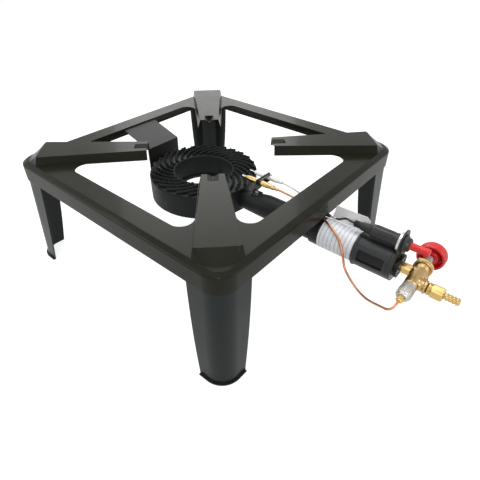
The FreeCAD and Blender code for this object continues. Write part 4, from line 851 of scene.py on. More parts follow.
def block(name: str, low: Vector, high: Vector, round_off: float = 0.0) -> bpy.types.Object:
    """Makes a small block with rounded edges between two corners in millimetres.

    Args:
        name: The object's name.
        low: The lower corner.
        high: The upper corner.
        round_off: The width of the rounded edges.

    Returns:
        The block.
    """
    mesh = bpy.data.meshes.new(name)
    work = bmesh.new()
    bmesh.ops.create_cube(work, size=1.0)
    for vertex in work.verts:
        share = vertex.co + Vector((0.5, 0.5, 0.5))
        vertex.co = Vector([low[k] + (high[k] - low[k]) * share[k] for k in range(3)]) * MM
    if round_off:
        bmesh.ops.bevel(work, geom=list(work.edges), offset=round_off * MM, segments=2, affect="EDGES",
                        profile=0.5)
    work.to_mesh(mesh)
    work.free()
    smooth_by_angle(mesh, 40.0)
    return new_object(name, mesh)


def joined(name: str, *pieces: bpy.types.Object) -> bpy.types.Object:
    """Joins plain meshes into one new object and removes the old ones.

    Args:
        name: The new object's name.
        pieces: The objects to join.

    Returns:
        The new object.
    """
    work = bmesh.new()
    for piece in pieces:
        work.from_mesh(piece.data)
        bpy.data.objects.remove(piece)
    mesh = bpy.data.meshes.new(name)
    work.to_mesh(mesh)
    work.free()
    return new_object(name, mesh)


def carved(piece: bpy.types.Object, cutter: bpy.types.Object) -> bpy.types.Object:
    """Cuts one object out of another and removes the cutter.

    Args:
        piece: The object that is cut.
        cutter: The object that cuts it.

    Returns:
        The cut piece.
    """
    modifier = piece.modifiers.new("cut", "BOOLEAN")
    modifier.operation = "DIFFERENCE"
    modifier.solver = "EXACT"
    modifier.object = cutter
    apply_modifiers(piece)
    bpy.data.objects.remove(cutter)
    return piece


def grown(name: str, tree: bpy.types.NodeTree, finish: Finish, base: bpy.types.Object | None = None,
          smooth: float = 35.0, **sizes: float | int | tuple[float, float, float]) -> bpy.types.Object:
    """Runs a Geometry Nodes tree on a base mesh and keeps the result as plain mesh.

    Args:
        name: the new object's name.
        tree: the tree.
        finish: the finish that the tree gives its geometry.
        base: the object whose mesh the tree repeats; none for a tree that makes its own.
        smooth: edges flatter than this are shaded smooth.
        sizes: the tree's named inputs, in metres and radians.

    Returns:
        The new object, with no modifier left on it.
    """
    piece = base or new_object(name, bpy.data.meshes.new(name))
    piece.name = name
    modifier = piece.modifiers.new("grow", "NODES")
    modifier.node_group = tree
    sockets = {item.name: item.identifier for item in tree.interface.items_tree if item.in_out == "INPUT"}
    modifier[sockets["Material"]] = finish.build()
    for key, value in sizes.items():
        modifier[sockets[key]] = value
    apply_modifiers(piece)
    smooth_by_angle(piece.data, smooth)
    return piece


def round_wire(name: str, points: tuple[tuple[float, float, float], ...], radius: float,
               sides: int = 4) -> bpy.types.Object:
    """Makes a smooth round lead through its guiding points.

    Args:
        name: the new object's name.
        points: the route's points in millimetres.
        radius: the lead's radius in millimetres.
        sides: the curve's bevel resolution.

    Returns:
        The lead as a plain mesh object.
    """
    curve = bpy.data.curves.new(name, "CURVE")
    curve.dimensions = "3D"
    curve.bevel_depth = radius * MM
    curve.bevel_resolution = sides
    curve.resolution_u = 10
    curve.use_fill_caps = True
    spline = curve.splines.new("NURBS")
    spline.points.add(len(points) - 1)
    for point, place in zip(spline.points, points):
        point.co = (*(value * MM for value in place), 1.0)
    spline.order_u = 3
    spline.use_endpoint_u = True
    carrier = bpy.data.objects.new(name + "_line", curve)
    bpy.context.scene.collection.objects.link(carrier)
    bpy.context.view_layer.update()
    evaluated = carrier.evaluated_get(bpy.context.evaluated_depsgraph_get())
    mesh = bpy.data.meshes.new_from_object(evaluated)
    bpy.data.objects.remove(carrier)
    piece = new_object(name, mesh)
    smooth_by_angle(mesh, 50.0)
    return piece


# ---------------------------------------------------------------- sub-assemblies

@dataclass
class PressedStand:
    """The pressed top and its four legs."""

    fold_round: float = 2.2
    rim_round: float = 0.45
    thin_face: float = 4.0
    leg_round: float = 0.5
    leg_belly: float = 2.0
    leg_steps: int = 8
    corner: float = 27.0
    shoulder: float = 7.0
    finger_rise: float = 12.0
    toe_inset: float = 0.6
    toe_low: float = 22.0
    toe_reach: tuple[float, float] = (21.0, 30.0)

    def build(self) -> None:
        """Builds the top, the legs and the straps under the top."""
        self.top()
        for side in ("front_left", "front_right", "rear_left", "rear_right"):
            self.leg("leg_" + side)
        dress("rear_strap", STRAP_PAINT, 0.5)
        dress("front_hanger", STRAP_PAINT, 0.5)
        dress("lug_screw", ZINC, 0.3)
        dress("hanger_screw", ZINC, 0.3)

    def top(self) -> None:
        """Rounds the top's folds widely and its cut rims finely."""
        piece = merged_copy("top_frame", 1.0)
        work = bmesh.new()
        work.from_mesh(piece.data)
        self.flatten_toes(work)
        bmesh.ops.dissolve_limit(work, angle_limit=math.radians(1.5), verts=work.verts, edges=work.edges)
        folds = [edge for edge in work.edges if self.is_fold(edge)]
        bmesh.ops.bevel(work, geom=folds, offset=self.fold_round * MM, segments=4, affect="EDGES",
                        profile=0.5,
                        clamp_overlap=True)
        work.to_mesh(piece.data)
        work.free()
        smooth_by_angle(piece.data, 30.0)
        bevelled(piece, self.rim_round, 2, 50.0)
        even_normals(piece)
        finish_piece(piece, ENAMEL, BODY_OF["top_frame"], "top_frame")

    def flatten_toes(self, work: bmesh.types.BMesh) -> None:
        """Carries each finger's sloping toe straight on over the top's rounded shoulder.

        Args:
            work: The top's mesh, which is changed in place.
        """
        seat = Seat.of("top_frame")
        inner = self.corner - self.shoulder
        centre = seat.high.x - self.corner
        root = seat.high.z - self.finger_rise - self.shoulder
        low = math.radians(self.toe_low)
        toe = Vector((-self.toe_inset, self.shoulder))
        rim = Vector((math.cos(low), math.sin(low))) * self.shoulder
        slope = math.atan2(rim.x - toe.x, toe.y - rim.y)
        offset = toe.x * math.cos(slope) + toe.y * math.sin(slope)
        near, far = self.toe_reach
        for vertex in work.verts:
            place = vertex.co / MM
            side = Vector((abs(place.x), abs(place.y)))
            across = abs(side.x - side.y) / math.sqrt(2)
            past = Vector((side.x - centre, side.y - centre))
            reach = past.length if min(past) > 0 else max(past)
            arm = Vector((reach - inner, place.z - root))
            off_shoulder = not self.shoulder * 0.6 < arm.length < self.shoulder + 0.05
            if across > far or min(arm) < -0.01 or off_shoulder:
                continue
            turn = math.atan2(arm.y, arm.x)
            if turn < low or side.x + side.y < centre * 2:
                continue
            share = 1.0 - max(0.0, across - near) / (far - near)
            scale = offset / math.cos(turn - slope) / self.shoulder
            arm *= 1.0 + share * (scale - 1.0)
            out = past.normalized() if min(past) > 0 else Vector((past.x > past.y, past.x <= past.y))
            moved = past + out * (arm.x + inner - reach)
            vertex.co.x = math.copysign(moved.x + centre, place.x) * MM
            vertex.co.y = math.copysign(moved.y + centre, place.y) * MM
            vertex.co.z = (arm.y + root) * MM

    def is_fold(self, edge: bmesh.types.BMEdge) -> bool:
        """Whether an edge is a fold between two broad faces."""
        if len(edge.link_faces) != 2 or edge.calc_length() < self.thin_face * MM:
            return False
        turn = math.degrees(edge.calc_face_angle(0.0))
        broad = all(face.calc_area() / edge.calc_length() > self.thin_face * MM for face in edge.link_faces)
        return broad and 20.0 < turn < 80.0

    def leg(self, node: str) -> None:
        """Makes a leg whose open edges bow gently outwards between hip and foot.

        Args:
            node: The leg's node.
        """
        piece = merged_copy(node)
        seat = Seat.of(node)
        work = bmesh.new()
        work.from_mesh(piece.data)
        top = Seat.of("top_frame").low.z
        for step in range(1, self.leg_steps):
            level = Vector((0.0, 0.0, top * step / self.leg_steps * MM))
            bmesh.ops.bisect_plane(work, geom=list(work.verts) + list(work.edges) + list(work.faces),
                                   plane_co=level, plane_no=(0.0, 0.0, 1.0))
        sign = Vector((math.copysign(1.0, seat.middle.x), math.copysign(1.0, seat.middle.y)))
        reach = max(abs(seat.low.x), abs(seat.high.x))
        for vertex in work.verts:
            share = vertex.co.z / MM / top
            if not 0.02 < share < 0.98:
                continue
            bow = self.leg_belly * 4 * share * (1 - share)
            for k in range(2):
                inward = reach - abs(vertex.co[k]) / MM
                pull = max(0.0, min(1.0, (inward - 24.0) / 14.0))
                vertex.co[k] -= sign[k] * bow * pull * MM
        work.to_mesh(piece.data)
        work.free()
        smooth_by_angle(piece.data, 35.0)
        bevelled(piece, self.leg_round, 2, 40.0)
        even_normals(piece)
        finish_piece(piece, LEG_ENAMEL, BODY_OF[node], node)


@dataclass
class RingBurner:
    """The cast ring, its cap and the mixing tube."""

    ribs: int = 28
    rib_width: float = 3.7
    rib_height: float = 5.8
    rib_drop: float = 0.9
    sweep: float = 36.0
    plate: float = 3.0
    bore: float = 45.0
    port_rows: int = 6
    boss: tuple[float, float] = (1.45, 0.75)

    def build(self) -> None:
        """Builds the castings, the tube, its label and the air shutter."""
        dress("burner_casting", CAST_IRON, 0.8)
        self.cap()
        dress("mixing_tube", TUBE_PAINT)
        dress("label_wrap", RULED_LABEL, smooth=40.0)
        dress("label_tab", WHITE_FILM, 0.15)
        dress("air_shutter", SHUTTER_PAINT, 0.3)
        dress("shutter_screw", ZINC, 0.25)
        dress("end_plate", SHUTTER_PAINT, 0.25)

    def cap(self) -> None:
        """Grows the ring's cap: a plate, curved ribs and rows of port bosses."""
        seat = Seat.of("burner_cap")
        centre = Vector((seat.middle.x, seat.middle.y, 0.0))
        radius = seat.span.x / 2
        top = seat.high.z
        level = top - 5.6
        plate = lathe("cap_plate", centre + Vector((0.0, 0.0, level)), Axis.Z, [
            (0.0, self.bore + 1.0), (0.9, self.bore + 0.2), (1.5, self.bore + 1.4), (1.0, self.bore + 3.2),
            (0.2, self.bore + 4.6), (0.0, radius - 2.0), (-0.4, radius - 0.4), (-1.2, radius),
            (-self.plate, radius), (-self.plate, self.bore), (-1.0, self.bore)], 96)
        outer, inner = self.boss
        rise = top - level
        boss = lathe("port_boss", Vector((0.0, 0.0, 0.0)), Axis.Z, [
            (-0.4, outer), (rise - 0.5, outer - 0.15), (rise, outer - 0.5), (rise, inner),
            (rise - 1.4, inner - 0.2), (rise - 1.4, 0.0)], 12)
        ribs = grown("cap_ribs", SPIRAL_RIBS, CAST_IRON, boss, 40.0, Ribs=self.ribs, Stations=12,
                     Inner=(self.bore + 3.0) * MM, Outer=(radius - 2.4) * MM, Sweep=math.radians(self.sweep),
                     Width=self.rib_width * MM, Height=self.rib_height * MM,
                     Base=(top - self.rib_drop - self.rib_height / 2) * MM, Centre=tuple(centre * MM),
                     Rows=self.port_rows,
                     First=(self.bore + 8.5) * MM, Last=(radius - 6.5) * MM, Floor=level * MM, Lane=0.0)
        piece = joined("burner_cap_ribbed", plate, ribs)
        finish_piece(piece, CAST_IRON, BODY_OF["burner_cap"], "burner_cap")


@dataclass
class GasTap:
    """The injector, the tap, the knob, the hose tail and the flame-failure magnet."""

    chamfer: float = 0.9
    barrel_radius: float = 8.0
    barb_ridges: int = 4
    knob_grips: int = 40
    disc_teeth: int = 24
    disc_inset: float = 1.6

    def build(self) -> None:
        """Builds the brass work, the magnet and the knob."""
        for node in ("injector_holder", "injector_jet"):
            dress(node, BRASS, 0.25)
        self.nut("injector_locknut", Axis.X, BRASS)
        self.nut("outlet_union", Axis.X, BRASS)
        self.toothed_disc()
        self.body()
        self.bonnet()
        self.bonnet_screws()
        self.knob()
        dress("tap_plug", BRASS_Y)
        dress("tap_stem", STEEL)
        self.spring()
        self.inlet()
        self.barb()
        dress("inlet_washer", RUBBER)
        self.magnet()
        dress("magnet_unit", COPPER)
        dress("safety_valve", RUBBER)

    def nut(self, node: str, axis: Axis, finish: Finish) -> None:
        """Makes a plain hexagon nut with chamfered corners.

        Args:
            node: The nut's node.
            axis: The axis that it is turned about.
            finish: Its finish.
        """
        seat = Seat.of(node)
        length = seat.span[axis.value]
        flats = min(value for k, value in enumerate(seat.span) if k != axis.value) / 2
        corner = flats * 2 / math.sqrt(3)
        cut = self.chamfer
        piece = lathe(node + "_turned", seat.root(axis), axis, [
            (0.0, 0.0), (0.0, flats - 0.3), (cut, corner, flats), (length - cut, corner, flats),
            (length, flats - 0.3), (length, 0.0)], 72)
        bevelled(piece, 0.18, 2, 25.0)
        finish_piece(piece, finish, BODY_OF[node], node)

    def toothed_disc(self) -> None:
        """Makes the adjusting disc, with square teeth round its rim."""
        seat = Seat.of("air_disc")
        root = seat.root(Axis.X)
        thick = seat.span.x
        rim = seat.span.y / 2 - self.disc_inset
        hub = Seat.of("outlet_union").span.y / 2 - 1.6
        disc = lathe("disc_web", root, Axis.X, [
            (0.0, hub), (0.0, rim - 2.8), (thick, rim - 2.8), (thick, rim - 4.4), (thick - 0.8, rim - 5.0),
            (thick - 0.8, hub)], 72)
        tooth = block("disc_tooth", Vector((root.x, -0.8, rim - 3.2)), Vector((root.x + thick, 0.8, rim)),
                      0.2)
        teeth = grown("disc_teeth", AROUND, BLACK_MOULDING, tooth, Count=self.disc_teeth,
                      Centre=tuple(Vector((0.0, root.y, root.z)) * MM), Axis=(1.0, 0.0, 0.0))
        finish_piece(joined("air_disc_toothed", disc, teeth), BLACK_MOULDING, BODY_OF["air_disc"], "air_disc")

    def body(self) -> None:
        """Forges the tap's body from a barrel, the two arms, a flange and a by-pass boss."""
        seat = Seat.of("tap_body")
        bonnet = Seat.of("tap_bonnet")
        centre = Vector((bonnet.middle.x, 0.0, bonnet.middle.z))
        front = seat.high.y
        back = Vector((centre.x, seat.low.y, centre.z))
        length = front - seat.low.y
        wide = self.barrel_radius
        barrel = lathe("barrel", back, Axis.Y, [
            (0.0, 0.0), (0.0, wide - 1.2), (1.0, wide), (7.0, wide + 0.6), (15.0, wide + 0.9), (24.0, wide),
            (length - 9.0, wide - 0.4), (length - 3.6, wide + 1.0), (length - 3.4, bonnet.span.x / 2 - 0.4),
            (length, bonnet.span.x / 2 - 0.2), (length, 0.0)], 60)
        inlet = Seat.of("inlet_nut")
        side = Vector((centre.x, inlet.middle.y, inlet.middle.z))
        reach = inlet.low.x - centre.x - 0.2
        inlet_arm = lathe("inlet_arm", side, Axis.X, [
            (0.0, 0.0), (0.0, 7.6), (7.5, 7.6), (8.5, 7.2), (reach - 4.2, 6.9), (reach - 4.0, 8.2),
            (reach - 1.2, 8.2), (reach - 0.8, 6.2), (reach, 6.2), (reach, 0.0)], 60)
        outlet = Seat.of("outlet_union")
        start = Vector((outlet.high.x + 0.25, centre.y, centre.z))
        way = centre.x - start.x
        outlet_arm = lathe("outlet_arm", start, Axis.X, [
            (0.0, 0.0), (0.0, 5.6), (1.6, 6.6), (way, 7.4), (way, 0.0)], 60)
        screw_way = Vector((centre.x + wide - 1.5, 1.5, centre.z - 2.5))
        boss = lathe("by_pass_boss", screw_way, Axis.X, [
            (0.0, 0.0), (0.0, 3.4), (3.4, 3.1), (3.4, 0.0)], 36)
        piece = joined("tap_body_forged", barrel, inlet_arm, outlet_arm, boss)
        forged(piece, 0.4, 3)
        screw = self.slotted_head("by_pass_screw", screw_way + Vector((3.2, 0.0, 0.0)), Axis.X, 2.3, 1.8)
        edge = bonnet.span.x / 2
        flange = lathe("tap_flange", Vector((centre.x, front - 3.8, centre.z)), Axis.Y, [
            (0.0, edge - 2.6), (0.0, edge - 0.6), (0.4, edge - 0.1), (1.7, edge - 0.1), (2.0, edge - 0.5),
            (2.3, edge - 0.5), (2.6, edge - 0.1), (3.75, edge - 0.1), (3.75, edge - 2.6)], 72)
        piece = joined("tap_body_forged", piece, screw, flange)
        finish_piece(piece, FORGED_BRASS, BODY_OF["tap_body"], "tap_body")

    def slotted_head(self, name: str, origin: Vector, axis: Axis, radius: float,
                     height: float) -> bpy.types.Object:
        """Makes a cheese-head screw with a driver slot.

        Args:
            name: the new object's name.
            origin: the centre of the head's underside, in millimetres.
            axis: the way the head points.
            radius: the head's radius.
            height: the head's height.

        Returns:
            The new object.
        """
        head = lathe(name, origin, axis, [
            (0.0, 0.0), (0.0, radius - 0.1), (height - 0.5, radius), (height - 0.1, radius - 0.3),
            (height, radius * 0.5), (height, 0.0)], 36)
        low = Vector((-radius * 1.2,) * 3)
        high = Vector((radius * 1.2,) * 3)
        across = (axis.value + 1) % 3
        low[across], high[across] = -0.38, 0.38
        low[axis.value], high[axis.value] = height - 0.75, height + 1.0
        return carved(head, block(name + "_slot", origin + low, origin + high))

    def bonnet(self) -> None:
        """Makes the bonnet: a round flange and a raised neck; its two screws are made by bonnet_screws."""
        seat = Seat.of("tap_bonnet")
        length = seat.span.y
        edge = seat.span.x / 2
        piece = lathe("tap_bonnet_turned", seat.root(Axis.Y), Axis.Y, [
            (0.0, 3.06), (0.0, edge - 0.3), (0.4, edge), (length - 3.0, edge), (length - 2.6, edge - 0.4),
            (length - 2.6, edge * 0.56), (length - 0.6, edge * 0.52), (length, edge * 0.46),
            (length, 3.06)], 72)
        bevelled(piece, 0.2, 2, 35.0)
        finish_piece(piece, BRASS_Y, BODY_OF["tap_bonnet"], "tap_bonnet")

    def bonnet_screws(self) -> None:
        """Makes the bonnet's two slotted screws, half a turn apart."""
        seat = Seat.of("bonnet_screws")
        bonnet = Seat.of("tap_bonnet")
        radius = 2.2
        origin = Vector((seat.high.x - radius, seat.low.y, seat.low.z + radius))
        middle = Vector((bonnet.middle.x, 0.0, bonnet.middle.z))
        head = self.slotted_head("bonnet_screw", origin - middle, Axis.Y, radius, seat.span.y)
        pair = grown("bonnet_screws_slotted", AROUND, ZINC, head, Count=2, Centre=tuple(middle * MM),
                     Axis=(0.0, 1.0, 0.0))
        finish_piece(pair, ZINC, BODY_OF["bonnet_screws"], "bonnet_screws")

    def knob(self) -> None:
        """Moulds the hollow knob, with a grooved back, a grip round its rim and a raised pointer."""
        seat = Seat.of("knob")
        root = seat.root(Axis.Y)
        length = seat.span.y
        rim = seat.span.x / 2 - 0.35
        cup = lathe("knob_cup", root, Axis.Y, [
            (1.0, 3.05), (0.4, 4.2), (0.4, 8.0), (1.2, 8.8), (5.0, 9.4), (length - 4.6, 10.2),
            (length - 4.2, 11.4),
            (length - 5.0, rim - 4.0), (2.0, rim - 3.4), (0.3, rim - 2.6), (0.0, rim - 1.6), (0.5, rim - 0.4),
            (1.6, rim), (length - 2.4, rim), (length - 0.9, rim - 0.6), (length - 0.1, rim - 2.0),
            (length - 0.6, rim - 3.4), (length - 0.8, 2.0), (length - 0.8, 1.2), (10.05, 1.2),
            (10.05, 3.05)], 96)
        grip = block("knob_grip", Vector((-0.42, root.y + 2.2, rim - 0.4)),
                     Vector((0.42, root.y + length - 3.0, rim + 0.35)), 0.18)
        grips = grown("knob_grips", AROUND, RED, grip, Count=self.knob_grips,
                      Centre=tuple(Vector((root.x, 0.0, root.z)) * MM), Axis=(0.0, 1.0, 0.0))
        face = root.y + length
        pointer = block("knob_pointer", Vector((root.x - 1.1, face - 1.4, root.z + 4.0)),
                        Vector((root.x + 1.1, face - 0.1, root.z + rim - 3.2)), 0.3)
        finish_piece(joined("knob_moulded", cup, grips, pointer), RED, BODY_OF["knob"], "knob")

    def spring(self) -> None:
        """Winds the spring behind the knob, at the length of its CAD node; in use it shortens as the knob
        goes in.
        """
        seat = Seat.of("tap_spring")
        low = seat.root(Axis.Y)
        coil = grown("tap_spring_coil", COIL, SPRING_STEEL, None, 60.0, Turns=7.0,
                     Radius=(seat.span.x / 2 - 0.6) * MM, Wire=0.5 * MM, Length=(seat.span.y - 1.2) * MM,
                     Start=tuple((low + Vector((0.0, 0.6, 0.0))) * MM), Turn=(-math.pi / 2, 0.0, 0.0))
        finish_piece(coil, SPRING_STEEL, BODY_OF["tap_spring"], "tap_spring")
        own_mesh(coil)

    def inlet(self) -> None:
        """Makes the inlet's union nut: a hexagon with a turned collar at its free end."""
        seat = Seat.of("inlet_nut")
        length = seat.span.x
        flats = seat.span.z / 2
        corner = flats * 2 / math.sqrt(3)
        piece = lathe("inlet_nut_turned", seat.root(Axis.X), Axis.X, [
            (0.0, 5.7), (0.0, flats - 0.4), (0.9, flats + 0.2), (2.2, flats + 0.2), (2.6, flats - 0.8),
            (3.4, flats - 0.8), (4.0, flats), (5.0, corner, flats), (length - 1.6, corner, flats),
            (length - 0.5, flats), (length, flats - 1.2), (length, 3.8), (length - 4.0, 3.8),
            (length - 4.0, 5.7)], 72)
        bevelled(piece, 0.18, 2, 25.0)
        finish_piece(piece, BRASS, BODY_OF["inlet_nut"], "inlet_nut")

    def barb(self) -> None:
        """Makes the hose tail, with saw-tooth ridges in a row."""
        seat = Seat.of("hose_barb")
        nut = Seat.of("inlet_nut")
        root = seat.root(Axis.X)
        length = seat.span.x
        free = seat.high.x - nut.high.x
        stem = 3.55
        core = lathe("hose_tail_core", root, Axis.X, [
            (0.0, 2.4), (0.0, seat.span.z / 2), (length - free - 4.0, seat.span.z / 2),
            (length - free - 4.0, stem),
            (length - 0.6, stem), (length, stem - 0.5), (length, 2.4)], 48)
        pitch = (free - 2.0) / self.barb_ridges
        ridge = lathe("barb_ridge", Vector((nut.high.x + 2.0, root.y, root.z)), Axis.X, [
            (0.0, stem - 0.3), (0.15, 4.55), (0.7, 4.7), (pitch - 0.5, stem + 0.05),
            (pitch - 0.4, stem - 0.3)], 48)
        ridges = grown("barb_ridges", ALONG, BRASS, ridge, Count=self.barb_ridges,
                       Step=(pitch * MM, 0.0, 0.0))
        finish_piece(joined("hose_barb_turned", core, ridges), BRASS, BODY_OF["hose_barb"], "hose_barb")

    def magnet(self) -> None:
        """Makes the magnet's knurled housing and the nut that holds the capillary's end."""
        seat = Seat.of("magnet_housing")
        root = seat.root(Axis.Y)
        length = seat.span.y
        rim = seat.span.x / 2
        shell = lathe("magnet_shell", root, Axis.Y, [
            (0.0, 2.0), (0.0, rim - 3.4), (0.8, rim - 2.4), (3.4, rim - 1.9), (4.2, rim - 1.0),
            (5.4, rim - 0.7),
            (length - 7.2, rim - 0.7), (length - 6.8, rim - 1.3), (length - 5.6, rim - 1.3),
            (length - 5.2, rim - 0.3),
            (length - 1.0, rim - 0.3), (length, rim - 1.0), (length, rim - 2.6), (3.0, rim - 2.4),
            (3.0, 2.0)], 72)
        tooth = block("magnet_knurl", Vector((-0.8, root.y + 4.6, rim - 1.5)),
                      Vector((0.8, root.y + length - 7.8, rim)), 0.3)
        knurls = grown("magnet_knurls", AROUND, ALUMINIUM, tooth, Count=18,
                       Centre=tuple(Vector((root.x, 0.0, root.z)) * MM), Axis=(0.0, 1.0, 0.0))
        finish_piece(joined("magnet_housing_knurled", shell, knurls), ALUMINIUM, BODY_OF["magnet_housing"],
                     "magnet_housing")
        nut = Seat.of("capillary_nut")
        flats = nut.span.z / 2
        corner = flats * 2 / math.sqrt(3)
        span = nut.span.y
        piece = lathe("capillary_nut_turned", nut.root(Axis.Y), Axis.Y, [
            (0.0, 1.32), (0.0, 2.3), (1.2, 2.7), (1.4, flats - 0.5), (2.0, corner, flats),
            (span - 0.7, corner, flats), (span, flats - 0.3), (span, 1.32)], 72)
        bevelled(piece, 0.12, 2, 25.0)
        finish_piece(piece, BRASS_Y, BODY_OF["capillary_nut"], "capillary_nut")


@dataclass
class PilotGroup:
    """The thermocouple, the electrode and their leads."""

    capillary_route: tuple[tuple[float, float, float], ...] = (
        (118, 11, 142.5), (146, 9.6, 142), (175, 4.2, 140.8), (199, -3, 137.9), (215.1, -11.5, 136.4),
        (230.8, -19, 130.9), (238.6, -23.2, 121.6), (243.8, -25.6, 111.5), (248, -28, 101.2),
        (256.5, -31.5, 94),
        (267, -36.5, 90), (280, -44, 88.6), (293.5, -52, 91.9), (306.4, -60, 99.8), (315.5, -66.8, 106.8),
        (321.5, -71.5, 111.5), (326.6, -69.5, 115.6), (327, -57, 116))
    wire_route: tuple[tuple[float, float, float], ...] = (
        (109, 31, 142.5), (128, 29.5, 142.4), (150, 22.6, 141.4), (172, 17.6, 140.4), (185, 8.8, 138.3),
        (189, 7.6, 138), (193.5, 7.5, 138))
    lead_route: tuple[tuple[float, float, float], ...] = (
        (211, 7.5, 138), (214.5, 7.5, 138), (220, 6, 142.5), (227.5, 2.6, 148.4), (233.5, 1, 147.6),
        (238, 1, 147.6))

    def build(self) -> None:
        """Builds the pilot pieces and their leads."""
        self.thermocouple()
        self.electrode()
        for name, route, radius, finish in (
                ("capillary", self.capillary_route, 1.45, COPPER),
                ("electrode_wire", self.wire_route, 1.5, WHITE_SLEEVE),
                ("ignition_lead", self.lead_route, 1.25, BLACK_SLEEVE)):
            finish_piece(round_wire(name + "_lead", route, radius), finish, BODY_OF[name], name)
        self.boot()
        dress("pilot_bracket", BLACK_PLATE, 0.3)
        dress("pilot_screw", ZINC, 0.2)
        dress("pilot_clip", BLACK_PLATE, 0.2)

    def thermocouple(self) -> None:
        """Makes the steel tip, the brass sleeve and the ferrule that the capillary leaves."""
        tip = Seat.of("thermocouple_tip")
        reach = tip.span.z / 2
        piece = lathe("thermocouple_tip_turned", tip.root(Axis.X), Axis.X, [
            (0.0, 0.0), (0.15, reach * 0.45), (0.8, reach * 0.85), (2.0, reach), (tip.span.x, reach),
            (tip.span.x, 0.0)], 36)
        finish_piece(piece, STEEL, BODY_OF["thermocouple_tip"], "thermocouple_tip")
        sleeve = Seat.of("thermocouple_sleeve")
        wide = sleeve.span.z / 2
        length = sleeve.span.x
        piece = lathe("thermocouple_sleeve_turned", sleeve.root(Axis.X), Axis.X, [
            (0.0, 0.0), (0.0, wide * 0.42), (4.5, wide * 0.8), (9.0, wide * 0.97), (12.0, wide), (24.0, wide),
            (24.4, wide - 0.35), (25.4, wide - 0.35), (25.8, wide), (length - 12.0, wide),
            (length - 8.0, wide * 0.9),
            (length - 4.0, wide * 0.72), (length - 3.4, wide * 0.84), (length - 0.6, wide * 0.84),
            (length, wide * 0.74), (length, 0.0)], 48)
        finish_piece(piece, BRASS, BODY_OF["thermocouple_sleeve"], "thermocouple_sleeve")
        ferrule = Seat.of("thermocouple_ferrule")
        wide = ferrule.span.z / 2
        length = ferrule.span.x
        piece = lathe("thermocouple_ferrule_turned", ferrule.root(Axis.X), Axis.X, [
            (0.0, 0.0), (0.0, wide), (2.2, wide), (2.6, wide - 0.4), (3.4, wide - 0.4), (3.8, wide - 0.1),
            (length - 2.2, wide - 0.2), (length, 1.5), (length, 0.0)], 36)
        finish_piece(piece, BRASS_PINK, BODY_OF["thermocouple_ferrule"], "thermocouple_ferrule")

    def electrode(self) -> None:
        """Makes the electrode's steel pin and its glazed ceramic with two rings."""
        seat = Seat.of("electrode_ceramic")
        wide = seat.span.z / 2
        length = seat.span.x
        piece = lathe("electrode_ceramic_glazed", seat.root(Axis.X), Axis.X, [
            (0.0, 0.0), (0.0, wide - 1.5), (0.5, wide - 1.0), (5.0, wide - 0.7), (5.6, wide - 0.1),
            (6.0, wide),
            (length - 7.4, wide), (length - 7.0, wide - 0.8), (length - 1.0, wide - 0.9),
            (length, wide - 1.6),
            (length, 0.0)], 48)
        finish_piece(piece, CERAMIC, BODY_OF["electrode_ceramic"], "electrode_ceramic")
        dress("electrode_pin", STEEL, 0.15)

    def boot(self) -> None:
        """Makes the ribbed boot where the white sleeve meets the ignition lead, and its ferrule."""
        seat = Seat.of("lead_boot")
        wide = seat.span.z / 2
        length = seat.span.x
        core = lathe("lead_boot_core", seat.root(Axis.X), Axis.X, [
            (0.0, 0.0), (0.0, wide - 0.8), (1.0, wide - 0.5), (length - 1.0, wide - 0.5),
            (length, wide - 0.9),
            (length, 0.0)], 36)
        ring = lathe("lead_boot_ring", seat.root(Axis.X), Axis.X, [
            (1.2, wide - 0.7), (1.4, wide), (2.2, wide), (2.4, wide - 0.7)], 36)
        rings = grown("lead_boot_rings", ALONG, RUBBER, ring, Count=4, Step=(2.1 * MM, 0.0, 0.0))
        finish_piece(joined("lead_boot_ribbed", core, rings), RUBBER, BODY_OF["lead_boot"], "lead_boot")
        dress("lead_ferrule", ZINC, 0.2)


